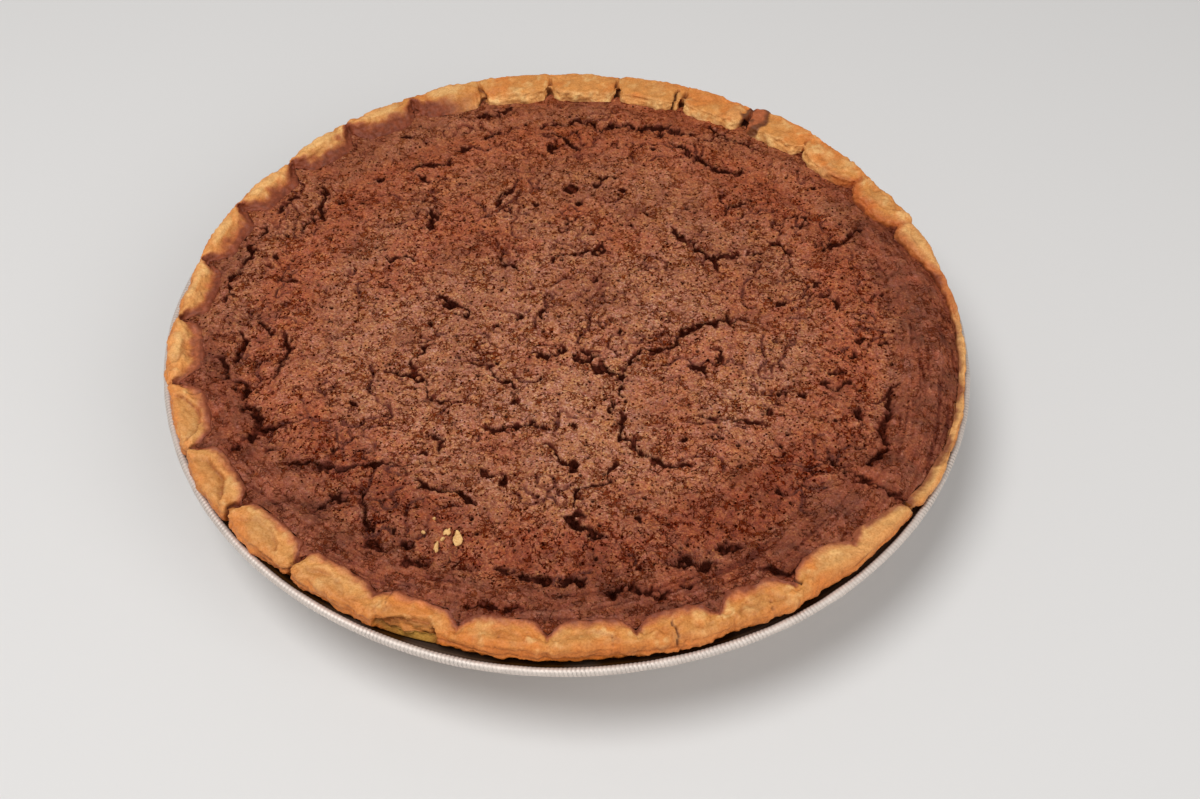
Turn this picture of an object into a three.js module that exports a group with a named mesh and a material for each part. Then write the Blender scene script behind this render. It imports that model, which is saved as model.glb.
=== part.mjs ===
// A round one-crust pie, uncut, baked in its own pressed foil tin.
// Millimetres, +Z up. The origin is the middle of the tin's flat base.
// Places round the rim are angles in degrees from +X, counter-clockwise seen from above.
// Heights called "over the bead" are counted from the middle of the tin's rolled edge.

import * as THREE from 'three';

// Foil tin.
const BEAD_RADIUS = 109;
const BEAD_SECTION_RADIUS = 1.15;
const BEAD_HEIGHT = 28.6;
const BEAD_SIDES = 8;
const TIN_BASE_RADIUS = 83.5;
const TIN_MOUTH_RADIUS = 103.4;
const TIN_FLANGE_DROP = 0.9;
const FOIL_THICKNESS = 0.7;
const TIN_STEPS = 90;

// Pastry shell.
const GAP = 0.3;
const SHELL_FLOOR_THICKNESS = 3.6;
const SHELL_WALL_THICKNESS = 4.4;
const CRUST_OUTER_RADIUS = 107.2;
const CRUST_INNER_RADIUS = 99.0;
const CRUST_HEIGHT = 7.2;
const CRUST_TILT = 1.3;
const CRUST_SLUMP = 3.0;
const BULGE_HEIGHT = 2.8;

// Thumb crimps round the rim, parted by narrow clefts.
const CRIMPS = 30;
const STEP_PLACES = [0, 0.14, 0.36, 0.64, 0.86];
const FIRST_CLEFT = 34.5;
const CRIMP_CREEP = 6.8;
const CREEP_CENTRE = 17.5;
const CREEP_WIDTH = 6.3;
const CLEFT_DEPTH = 2.3;
const CLEFT_INSET = 1.1;
const LOBE_DEPTH = 2.2;
const THUMB_DEPTH = 1.5;
const THUMB_DEPTH_FAINT = 0.5;

// Filling.
const FILL_EDGE_HEIGHT = 4.4;
const FILL_LEVEL = 5.5;
const OVERFLOW_REACH = 6.6;
const EDGE_SLOPE = 6;
const TROUGH_RADIUS = 86;
const TROUGH_WIDTH = 4.5;
const TROUGH_DEPTH = 1.5;
const LUMP_HEIGHT = 0.9;
const LUMP_SIZE = 17;
const CREVICE_DEPTH = 1.5;
const CREVICE_WIDTH = 2.6;
const FILL_RINGS = 25;

// The widest crevices in the filling's top, as [x, y] points along each.
const CREVICES = [
  [[63, 6], [48, 3], [33, -2], [30, -10], [16, -15], [9, -20]],
  [[16, -15], [15, -30], [16, -42], [38, -46]],
  [[6, -63], [2, -69], [11, -73]],
  [[31, 36], [41, 26], [52, 26]],
  [[32, 84], [36, 76], [46, 64]],
  [[8, 85], [20, 87], [34, 83]],
  [[-76, 45], [-73, 38]],
  [[-86, -24], [-79, -38], [-77, -46]],
  [[-40, -74], [-33, -80], [-24, -80]],
  [[-3, -84], [8, -87], [22, -88], [30, -82]],
  [[84, -24], [83, -38], [78, -50]],
  [[70, -51], [80, -59], [87, -62]],
];

// Heights and slopes worked out from these sizes.
const STEPS = CRIMPS * STEP_PLACES.length;
const FLANGE_TOP = BEAD_HEIGHT - TIN_FLANGE_DROP;
const SEAT_HEIGHT = FLANGE_TOP + GAP;
const SHOULDER_HEIGHT = BEAD_HEIGHT - 2;
const SHELL_UNDERSIDE = FOIL_THICKNESS + GAP;
const SHELL_FLOOR = SHELL_UNDERSIDE + SHELL_FLOOR_THICKNESS;
const WALL_RUN = (TIN_MOUTH_RADIUS - TIN_BASE_RADIUS) / FLANGE_TOP;
const WALL_SINE = Math.sin(Math.atan(1 / WALL_RUN));
const WALL_GAP = GAP / WALL_SINE;

const radians = THREE.MathUtils.degToRad;
const smoothstep = THREE.MathUtils.smoothstep;
const lerp = THREE.MathUtils.lerp;

// Angle of the cleft before crimp number `index`.
function cleftAngle(index) {
  const lap = Math.floor(index / CRIMPS);
  const place = index - lap * CRIMPS;
  const creep = CRIMP_CREEP * Math.exp(-(((place - CREEP_CENTRE) / CREEP_WIDTH) ** 2));
  return FIRST_CLEFT + 360 * lap + (360 / CRIMPS) * place + creep;
}

// Where step `index` of the crust stands: its angle, and its place across its crimp, -1 to 1.
function rimStep(index) {
  const crimp = Math.floor(index / STEP_PLACES.length);
  const place = STEP_PLACES[index - crimp * STEP_PLACES.length];
  const angle = lerp(cleftAngle(crimp), cleftAngle(crimp + 1), place);
  return { angle, across: 2 * place - 1 };
}

// Angle at a fractional step, for the rings of the filling.
function stepAngle(step) {
  const below = Math.floor(step);
  return lerp(rimStep(below).angle, rimStep(below + 1).angle, step - below);
}

// 1 between two angles, easing to 0 over a number of degrees before and after them.
function between(angle, from, to, easeIn, easeOut = easeIn) {
  const turn = THREE.MathUtils.euclideanModulo(angle - from + easeIn, 360) - easeIn;
  const rise = smoothstep(turn, -easeIn, 0);
  const fall = 1 - smoothstep(turn, to - from, to - from + easeOut);
  return Math.min(rise, fall);
}

// How far the filling has run out over the rim, from 0 to 1.
function overflow(angle) {
  return between(angle, 333, 366, 42, 27) ** 1.3;
}

// Repeatable noise of about -1 to 1 over the plan.
function latticeValue(column, row, seed) {
  let bits = Math.imul(column, 374761393) + Math.imul(row, 668265263) + Math.imul(seed, 974634777);
  bits = Math.imul(bits ^ (bits >>> 13), 1274126177);
  return (((bits ^ (bits >>> 16)) >>> 0) / 4294967295) * 2 - 1;
}

function planNoise(x, y, size, seed) {
  const column = Math.floor(x / size);
  const row = Math.floor(y / size);
  const acrossX = smoothstep(x / size - column, 0, 1);
  const acrossY = smoothstep(y / size - row, 0, 1);
  const low = lerp(latticeValue(column, row, seed), latticeValue(column + 1, row, seed), acrossX);
  const high = lerp(latticeValue(column, row + 1, seed), latticeValue(column + 1, row + 1, seed), acrossX);
  return lerp(low, high, acrossY);
}

// Inside radius of the tin's wall at a height.
function tinInside(height) {
  return TIN_BASE_RADIUS - FOIL_THICKNESS / WALL_SINE + WALL_RUN * height;
}

// Inside radius of the pastry wall at a height.
function shellInside(height) {
  return tinInside(height) - WALL_GAP - SHELL_WALL_THICKNESS / WALL_SINE;
}

// Height of the crimped crest over the bead, away from the clefts.
function crestHeight(angle) {
  return CRUST_HEIGHT + CRUST_TILT * Math.sin(radians(angle)) - CRUST_SLUMP * overflow(angle);
}

// The line where the filling's top meets the crust, as radius and height over the bead.
function fillEdge(angle, across) {
  const spill = overflow(angle);
  const lobe = LOBE_DEPTH * (1 - spill) * (across ** 4 - 0.3);
  return {
    radius: CRUST_INNER_RADIUS + OVERFLOW_REACH * spill + lobe,
    height: FILL_EDGE_HEIGHT + 0.5 * Math.sin(radians(angle)) - 1.7 * spill,
  };
}

// Section of the pastry shell at one step, as [radius, height], from its underside to its floor.
function shellSection(step) {
  const { angle, across } = rimStep(step);
  const spill = overflow(angle);
  const inCleft = across === -1 ? 1 : 0;
  const merged = between(angle, 258, 300, 10);
  const thumbed = between(angle, 190, 250, 12);
  const cleft = inCleft * (1 - 0.6 * merged) * (1 - 0.8 * spill);
  const roundness = 1 - across ** 4;
  const edge = fillEdge(angle, across);
  const wobble = 0.4 * planNoise(angle, 0, 9, 3);
  const outer = CRUST_OUTER_RADIUS + 0.7 * roundness - CLEFT_INSET * cleft + 0.5 * wobble;
  const width = outer - edge.radius;
  const crest = crestHeight(angle) + 0.5 * roundness + wobble - CLEFT_DEPTH * cleft - 0.3;
  const thumb = lerp(THUMB_DEPTH_FAINT, THUMB_DEPTH, thumbed) * roundness * (1 - spill);
  const top = (depth, height) => [outer - depth * width, BEAD_HEIGHT + height];
  return [
    [tinInside(SHELL_UNDERSIDE) - WALL_GAP, SHELL_UNDERSIDE],
    [tinInside(SEAT_HEIGHT) - WALL_GAP, SEAT_HEIGHT],
    [outer - 1.6, SEAT_HEIGHT + 0.4],
    [outer, BEAD_HEIGHT + BULGE_HEIGHT],
    top(0.1, Math.max(crest - 1.3, BULGE_HEIGHT + 0.3)),
    top(0.3, crest),
    top(0.52, crest - thumb),
    top(0.76, crest - 0.35),
    top(0.93, lerp(edge.height, crest, 0.6)),
    [edge.radius, BEAD_HEIGHT + edge.height],
    [shellInside(SHOULDER_HEIGHT), SHOULDER_HEIGHT],
    [shellInside(SHELL_FLOOR), SHELL_FLOOR],
  ];
}

// How deep the nearest crevice is at a place on the filling's top.
function creviceDepth(x, y) {
  const here = new THREE.Vector3(x, y, 0);
  const nearest = new THREE.Vector3();
  let distance = Infinity;
  for (const points of CREVICES) {
    for (let index = 1; index < points.length; index += 1) {
      const start = new THREE.Vector3(...points[index - 1], 0);
      const end = new THREE.Vector3(...points[index], 0);
      new THREE.Line3(start, end).closestPointToPoint(here, true, nearest);
      distance = Math.min(distance, nearest.distanceTo(here));
    }
  }
  return CREVICE_DEPTH * (1 - smoothstep(distance, 0, CREVICE_WIDTH));
}

// Height of the filling's top over the bead: a lumpy middle, a broken trough near the
// rim, and a smooth slope down to the crust.
function fillTop(radius, angle, edge) {
  const x = radius * Math.cos(radians(angle));
  const y = radius * Math.sin(radians(angle));
  const troughPart = 0.55 + 0.45 * planNoise(angle, 0, 24, 5);
  const offTrough = (radius - TROUGH_RADIUS - 2 * planNoise(angle, 0, 31, 7)) / TROUGH_WIDTH;
  const trough = TROUGH_DEPTH * troughPart * Math.exp(-(offTrough ** 2));
  const coarse = planNoise(x, y, LUMP_SIZE, 11);
  const fine = planNoise(x, y, LUMP_SIZE / 2.4, 13);
  const lumps = LUMP_HEIGHT * (0.7 * coarse + 0.3 * fine);
  const open = FILL_LEVEL - trough + lumps - creviceDepth(x, y);
  const inland = smoothstep(edge.radius - radius, 0, EDGE_SLOPE);
  return lerp(edge.height, open, inland);
}

function ringPoint(radius, angle, height) {
  return [radius * Math.cos(radians(angle)), radius * Math.sin(radians(angle)), height];
}

// Joins a list of points and triangles into a named, coloured mesh.
function solid(name, points, triangles, colour, roughness, metalness) {
  const geometry = new THREE.BufferGeometry();
  geometry.setAttribute('position', new THREE.Float32BufferAttribute(points.flat(), 3));
  geometry.setIndex(triangles);
  geometry.computeVertexNormals();
  const material = new THREE.MeshStandardMaterial({ color: colour, roughness, metalness });
  const mesh = new THREE.Mesh(geometry, material);
  mesh.name = name;
  return mesh;
}

// Two triangles for each step between a ring of points and the next ring. A skin that
// lies against another one splits its quads along the same diagonals as that one does.
function joinRings(triangles, first, second, count, otherDiagonal = false) {
  for (let step = 0; step < count; step += 1) {
    const next = (step + 1) % count;
    if (otherDiagonal) {
      triangles.push(first + step, first + next, second + step);
      triangles.push(first + next, second + next, second + step);
    } else {
      triangles.push(first + step, first + next, second + next);
      triangles.push(first + step, second + next, second + step);
    }
  }
}

// Triangles from a ring of points to one point on the axis.
function capRing(triangles, ring, count, pole, upward) {
  for (let step = 0; step < count; step += 1) {
    const next = (step + 1) % count;
    if (upward) {
      triangles.push(ring + step, ring + next, pole);
    } else {
      triangles.push(ring + next, ring + step, pole);
    }
  }
}

function foilTin() {
  const outline = [];
  const add = (radius, height) => outline.push(new THREE.Vector2(radius, height));
  add(0, 0);
  add(TIN_BASE_RADIUS - 1.5, 0);
  add(TIN_BASE_RADIUS + 0.4, 0.8);
  add(TIN_MOUTH_RADIUS, FLANGE_TOP - FOIL_THICKNESS);
  for (let side = 0; side < BEAD_SIDES - 1; side += 1) {
    const turn = radians(-150 + (side * 300) / (BEAD_SIDES - 2));
    const radius = BEAD_RADIUS + BEAD_SECTION_RADIUS * Math.cos(turn);
    add(radius, BEAD_HEIGHT + BEAD_SECTION_RADIUS * Math.sin(turn));
  }
  add(BEAD_RADIUS - 1.9, FLANGE_TOP);
  add(tinInside(FLANGE_TOP), FLANGE_TOP);
  add(tinInside(FOIL_THICKNESS), FOIL_THICKNESS);
  add(0, FOIL_THICKNESS);
  const geometry = new THREE.LatheGeometry(outline, TIN_STEPS);
  geometry.rotateX(Math.PI / 2);
  const material = new THREE.MeshStandardMaterial({ color: 0xc9c7c4, roughness: 0.35, metalness: 1 });
  const mesh = new THREE.Mesh(geometry, material);
  mesh.name = 'tin';
  return mesh;
}

function pastryShell() {
  const sections = Array.from({ length: STEPS }, (_, step) => shellSection(step));
  const ringCount = sections[0].length;
  const points = [];
  const triangles = [];
  for (let ring = 0; ring < ringCount; ring += 1) {
    for (let step = 0; step < STEPS; step += 1) {
      const [radius, height] = sections[step][ring];
      points.push(ringPoint(radius, rimStep(step).angle, height));
    }
    if (ring > 0) {
      joinRings(triangles, (ring - 1) * STEPS, ring * STEPS, STEPS);
    }
  }
  points.push([0, 0, SHELL_UNDERSIDE], [0, 0, SHELL_FLOOR]);
  capRing(triangles, 0, STEPS, points.length - 2, false);
  capRing(triangles, (ringCount - 1) * STEPS, STEPS, points.length - 1, true);
  return solid('crust', points, triangles, 0xcb8a4a, 0.75, 0);
}

function filling() {
  const points = [];
  const triangles = [];
  const floor = SHELL_FLOOR + GAP;
  const edges = [];
  for (let step = 0; step < STEPS; step += 1) {
    const { angle, across } = rimStep(step);
    const edge = fillEdge(angle, across);
    edges.push({ radius: edge.radius - 1.2 * GAP, height: edge.height + 0.6 * GAP });
    points.push(ringPoint(shellInside(floor) - WALL_GAP, angle, floor));
  }
  for (let step = 0; step < STEPS; step += 1) {
    const shoulder = SHOULDER_HEIGHT + 0.8 * GAP;
    points.push(ringPoint(shellInside(SHOULDER_HEIGHT) - WALL_GAP, rimStep(step).angle, shoulder));
  }
  joinRings(triangles, 0, STEPS, STEPS, true);
  let outerRing = points.length;
  for (let ring = FILL_RINGS; ring > 0; ring -= 1) {
    const count = (STEPS * ring) / FILL_RINGS;
    const start = points.length;
    for (let index = 0; index < count; index += 1) {
      const step = (index * FILL_RINGS) / ring;
      const angle = stepAngle(step);
      const before = edges[Math.floor(step) % STEPS];
      const after = edges[(Math.floor(step) + 1) % STEPS];
      const part = step - Math.floor(step);
      const edge = {
        radius: lerp(before.radius, after.radius, part),
        height: lerp(before.height, after.height, part),
      };
      const radius = (edge.radius * ring) / FILL_RINGS;
      points.push(ringPoint(radius, angle, BEAD_HEIGHT + fillTop(radius, angle, edge)));
    }
    if (ring === FILL_RINGS) {
      joinRings(triangles, STEPS, start, STEPS, true);
    } else {
      joinShrinkingRings(triangles, outerRing, start, ring);
    }
    outerRing = start;
  }
  points.push([0, 0, BEAD_HEIGHT + fillTop(0, 0, edges[0])], [0, 0, floor]);
  capRing(triangles, outerRing, STEPS / FILL_RINGS, points.length - 2, true);
  capRing(triangles, 0, STEPS, points.length - 1, false);
  return solid('filling', points, triangles, 0x6f3a26, 0.85, 0);
}

// Joins a ring of (inner + 1) points in each sector to the next ring in, of `inner` points.
function joinShrinkingRings(triangles, outerStart, innerStart, inner) {
  const sectors = STEPS / FILL_RINGS;
  const outer = inner + 1;
  for (let sector = 0; sector < sectors; sector += 1) {
    for (let index = 0; index < outer; index += 1) {
      const outside = outerStart + sector * outer + index;
      const outsideNext = outerStart + ((sector * outer + index + 1) % (sectors * outer));
      const inside = innerStart + ((sector * inner + index) % (sectors * inner));
      triangles.push(outside, outsideNext, inside);
      if (index < inner) {
        const insideNext = innerStart + ((sector * inner + index + 1) % (sectors * inner));
        triangles.push(outsideNext, insideNext, inside);
      }
    }
  }
}

const pie = new THREE.Group();
pie.add(foilTin());
pie.add(pastryShell());
pie.add(filling());

export default pie;
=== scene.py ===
"""The looks of a round bean pie in its foil tin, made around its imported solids.

Lengths are millimetres up to the moment a mesh is made, and metres from there on.
Places round the rim are angles in degrees from +X, counter-clockwise seen from above.
Heights called "over the bead" are counted from the middle of the tin's rolled edge.
Every noise is repeatable: its first number is its seed, and its second the size of its features.
"""

import math
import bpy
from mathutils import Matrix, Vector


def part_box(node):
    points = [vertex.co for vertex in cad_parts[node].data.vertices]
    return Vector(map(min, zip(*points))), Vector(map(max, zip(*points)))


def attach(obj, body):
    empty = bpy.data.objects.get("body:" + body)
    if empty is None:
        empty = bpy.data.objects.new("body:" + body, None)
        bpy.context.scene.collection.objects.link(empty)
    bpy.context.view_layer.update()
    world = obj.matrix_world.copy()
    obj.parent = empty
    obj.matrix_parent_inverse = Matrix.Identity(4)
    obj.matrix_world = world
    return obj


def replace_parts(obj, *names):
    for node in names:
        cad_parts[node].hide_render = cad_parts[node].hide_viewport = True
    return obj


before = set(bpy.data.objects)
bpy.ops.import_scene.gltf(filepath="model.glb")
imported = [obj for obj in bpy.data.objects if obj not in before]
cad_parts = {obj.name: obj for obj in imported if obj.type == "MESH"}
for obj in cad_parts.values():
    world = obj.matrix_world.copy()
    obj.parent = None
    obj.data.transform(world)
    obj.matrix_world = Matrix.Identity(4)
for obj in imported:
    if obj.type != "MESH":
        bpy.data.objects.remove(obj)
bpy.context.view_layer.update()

from types import SimpleNamespace

import bpy
import numpy as np
from mathutils import Matrix, Vector

MM = 0.001

# Sizes that the solids were made from.
TIN_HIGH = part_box("tin")[1]
BEAD_SECTION = 1.15
BEAD_RADIUS = TIN_HIGH.x / MM - BEAD_SECTION
BEAD_HEIGHT = 28.6
FLANGE_TOP = BEAD_HEIGHT - 0.9
FOIL = 0.7
TIN_BASE_RADIUS = 83.5
TIN_MOUTH_RADIUS = 103.4
WALL_RUN = (TIN_MOUTH_RADIUS - TIN_BASE_RADIUS) / FLANGE_TOP
WALL_SINE = math.sin(math.atan(1 / WALL_RUN))
GAP = 0.3
WALL_GAP = GAP / WALL_SINE
SEAT_HEIGHT = FLANGE_TOP + GAP
SHOULDER_HEIGHT = BEAD_HEIGHT - 2
SHELL_UNDERSIDE = FOIL + GAP
SHELL_FLOOR = SHELL_UNDERSIDE + 3.6
SHELL_WALL = 4.4
CRUST_OUTER = 107.2
CRUST_INNER = 99.0
CRUST_HEIGHT = 7.2
CRUST_TILT = 1.3
CRUST_SLUMP = 3.0
BULGE_HEIGHT = 2.8
CRIMPS = 30
FIRST_CLEFT = 34.5
CRIMP_CREEP = 6.8
CREEP_CENTRE = 17.5
CREEP_WIDTH = 6.3
LOBE_DEPTH = 2.2
FILL_EDGE_HEIGHT = 4.4
FILL_LEVEL = 5.5
OVERFLOW_REACH = 6.6
EDGE_SLOPE = 6.0
TROUGH_RADIUS = 86.0
TROUGH_WIDTH = 4.5
TROUGH_DEPTH = 1.5
CRIMP_HALF_LENGTH = 11.4


# ---------------------------------------------------------------- numbers

def srgb(red, green, blue):
    """A screen colour, 0 to 255, as the linear numbers that a shader takes."""
    values = np.array([red, green, blue]) / 255
    return np.where(values <= 0.04045, values / 12.92, ((values + 0.055) / 1.055) ** 2.4)


def rising(value, low, high):
    """0 below one value, 1 above another, and a smooth step between them."""
    part = np.clip((value - low) / (high - low), 0, 1)
    return part * part * (3 - 2 * part)


def falling(value, low, high):
    return 1 - rising(value, low, high)


def bell(value):
    """1 at 0, falling smoothly to nearly 0 at 2."""
    return np.exp(-(value**2))


def lerp(first, second, part):
    return first + (second - first) * part


def paint(tones, colour, part, bare=None):
    """Moves tones towards one colour, and their bareness towards a value, by a share each."""
    share = np.clip(part, 0, 1)[:, None]
    goal = np.append(colour, 1.0 if bare is None else bare)
    moved = tones + (goal - tones) * share
    if bare is None:
        moved[:, 3] = tones[:, 3]
    return moved


def painted(tones, layers):
    """Tones under layers of paint: each a colour, its share and, in some, a bareness."""
    for layer in layers:
        tones = paint(tones, *layer)
    return tones


def plain_tones(colour, count):
    return np.tile(np.append(colour, 1.0), (count, 1))


def shaded(tones, shade):
    """Tones made lighter or darker, with their bareness kept."""
    return np.concatenate([tones[:, :3] * shade[:, None], tones[:, 3:]], 1)


def lattice(cells, seed):
    """Repeatable values from -1 to 1 at whole-number places."""
    bits = np.full(cells[0].shape, seed * 974634777 % 2**32, np.uint32)
    for cell, stride in zip(cells, (374761393, 668265263, 2246822519)):
        bits += cell.astype(np.int64).astype(np.uint32) * np.uint32(stride)
    bits = (bits ^ (bits >> np.uint32(13))) * np.uint32(1274126177)
    bits ^= bits >> np.uint32(16)
    return bits / 2147483647.5 - 1


def noise(seed, size, *axes):
    """Smooth repeatable noise of about -1 to 1, with features of one size."""
    cells = []
    parts = []
    for axis in axes:
        scaled = np.asarray(axis, float) / size
        whole = np.floor(scaled)
        part = scaled - whole
        cells.append(whole)
        parts.append(part * part * (3 - 2 * part))
    total = 0
    for corner in range(2 ** len(axes)):
        weight = 1
        places = []
        for bit, (cell, part) in enumerate(zip(cells, parts)):
            high = corner >> bit & 1
            weight = weight * (part if high else 1 - part)
            places.append(cell + high)
        total = total + weight * lattice(places, seed)
    return total


def rough(seed, parts, *axes):
    """Noise of several sizes, each part a size and a height, with seeds that count up."""
    return sum(height * noise(seed + step, size, *axes) for step, (size, height) in enumerate(parts))


# ---------------------------------------------------------------- the rim's plan

def cleft_angle(index):
    """Angle of the cleft before a crimp."""
    place = np.mod(index, CRIMPS)
    lap = np.floor_divide(index, CRIMPS)
    creep = CRIMP_CREEP * bell((place - CREEP_CENTRE) / CREEP_WIDTH)
    return FIRST_CLEFT + 360 * lap + 360 / CRIMPS * place + creep


CLEFT_NUMBERS = np.arange(-CRIMPS, CRIMPS + 2)
CLEFT_ANGLES = cleft_angle(CLEFT_NUMBERS)


def cleft_place(angle):
    """The number of the cleft at each angle, with fractions between one cleft and the next."""
    return np.interp(np.mod(angle, 360), CLEFT_ANGLES, CLEFT_NUMBERS)


def crimp_place(angle):
    """The place across its crimp of each angle, from -1 to 1."""
    place = cleft_place(angle)
    return 2 * (place - np.floor(place)) - 1


def between(angle, start, end, ease_in, ease_out=None):
    """1 between two angles, easing to 0 over a number of degrees before and after them."""
    ease_out = ease_in if ease_out is None else ease_out
    turn = np.mod(angle - start + ease_in, 360) - ease_in
    rise = rising(turn, -ease_in, 0)
    fall = falling(turn, end - start, end - start + ease_out)
    return np.minimum(rise, fall)


def overflow(angle):
    """How far the filling has run out over the rim, from 0 to 1."""
    return between(angle, 333, 366, 42, 27) ** 1.6


def crest_height(angle):
    return CRUST_HEIGHT + CRUST_TILT * np.sin(np.radians(angle)) - CRUST_SLUMP * overflow(angle)


def fill_edge(angle, across):
    """Radius and height over the bead of the line where the filling meets the crust."""
    spill = overflow(angle)
    lobe = LOBE_DEPTH * (1 - spill) * (across**4 - 0.3)
    radius = CRUST_INNER + OVERFLOW_REACH * spill + lobe
    height = FILL_EDGE_HEIGHT + 0.5 * np.sin(np.radians(angle)) - 1.7 * spill
    return radius, height


def boxy_part(angle):
    """The far side, where the crimps stand upright, side by side."""
    return between(angle, 40, 106, 18)


def browned_part(angle):
    """The left side, where the inner half of each crimp is browned and stained."""
    return between(angle, 116, 190, 10)


def pillowed_part(angle):
    """The near left, where each crimp is a plump pillow with a thumb's dimple."""
    return between(angle, 190, 243, 8)


def merged_part(angle):
    """The near and the right side, where the crimps run together into one band."""
    return np.maximum(between(angle, 258, 318, 9), 0.9 * between(angle, 12, 42, 8))


def whole_part(angle):
    """One crimp whose joint with the next one closed in the oven."""
    return between(angle, 240.5, 246.5, 2)


def shown_edge(angle, across):
    """Where the filling meets the crust as it shows: it runs out into the clefts as notches."""
    radius, height = fill_edge(angle, across)
    open_side = between(angle, 120, 204, 15)
    to_cleft = (1 - np.abs(across)) * CRIMP_HALF_LENGTH
    notch = bell(to_cleft / (1.5 + 1.0 * open_side + 1.2 * merged_part(angle)))
    notch = notch * (1 - overflow(angle)) * (1 - 0.9 * whole_part(angle))
    filled_up = 1.3 * between(angle, 192, 316, 14) + 0.7 * between(angle, 122, 178, 14)
    radius = radius + (1.7 + 2.0 * open_side) * notch + 0.9 * overflow(angle)
    radius = radius - 1.8 * between(angle, 309, 322, 5) - 1.0 * between(angle, 327, 334, 4)
    return radius, height + filled_up


# Where the baked rim leans out over the tin's edge: start, end and easing in degrees, and how far.
LEANS = [
    (150, 166, 5, 0.6), (171, 181, 4, -0.6), (185, 219, 4, 0.6), (231, 237, 7, -0.3),
    (229, 277, 6, -0.1), (284, 289, 3, 1.0), (297, 301, 2.5, 1.0), (311, 323, 2, 0.6),
    (327, 388, 4, 1.4), (46, 134, 15, 1.2),
]


def overhang(angle):
    return sum(lean * between(angle, *span) for *span, lean in LEANS)


def tin_inside(height):
    return TIN_BASE_RADIUS - FOIL / WALL_SINE + WALL_RUN * height


def shell_inside(height):
    return tin_inside(height) - WALL_GAP - SHELL_WALL / WALL_SINE


def polar(radius, angle, height):
    turn = np.radians(angle)
    height = np.broadcast_to(height, np.shape(radius))
    return np.stack([radius * np.cos(turn), radius * np.sin(turn), height], -1)


# ---------------------------------------------------------------- meshes

def make_piece(name, points, faces, material, tones):
    """A smooth mesh from points in millimetres and groups of faces, riding on the pie.

    Each point's tone is its colour and, fourth, how clean and bare its surface is.
    """
    mesh = bpy.data.meshes.new(name)
    mesh.from_pydata((points * MM).tolist(), [], [face for group in faces for face in group.tolist()])
    mesh.shade_smooth()
    layer = mesh.attributes.new("tone", "FLOAT_COLOR", "POINT")
    layer.data.foreach_set("color", np.clip(tones, 0, 1).astype(np.float32).ravel())
    piece = bpy.data.objects.new(name, mesh)
    bpy.context.scene.collection.objects.link(piece)
    mesh.materials.append(material)
    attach(piece, "root")
    return piece


def ring_faces(first, second, count):
    """Quads between two rings of points, of one count."""
    step = np.arange(count)
    after = (step + 1) % count
    return np.stack([first + step, first + after, second + after, second + step], -1)


def cap_faces(ring, count, pole, upward):
    step = np.arange(count)
    after = (step + 1) % count
    ends = [ring + step, ring + after] if upward else [ring + after, ring + step]
    return np.stack([*ends, np.full(count, pole)], -1)


# ---------------------------------------------------------------- materials

WHITE = (1.0, 1.0, 1.0)


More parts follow.
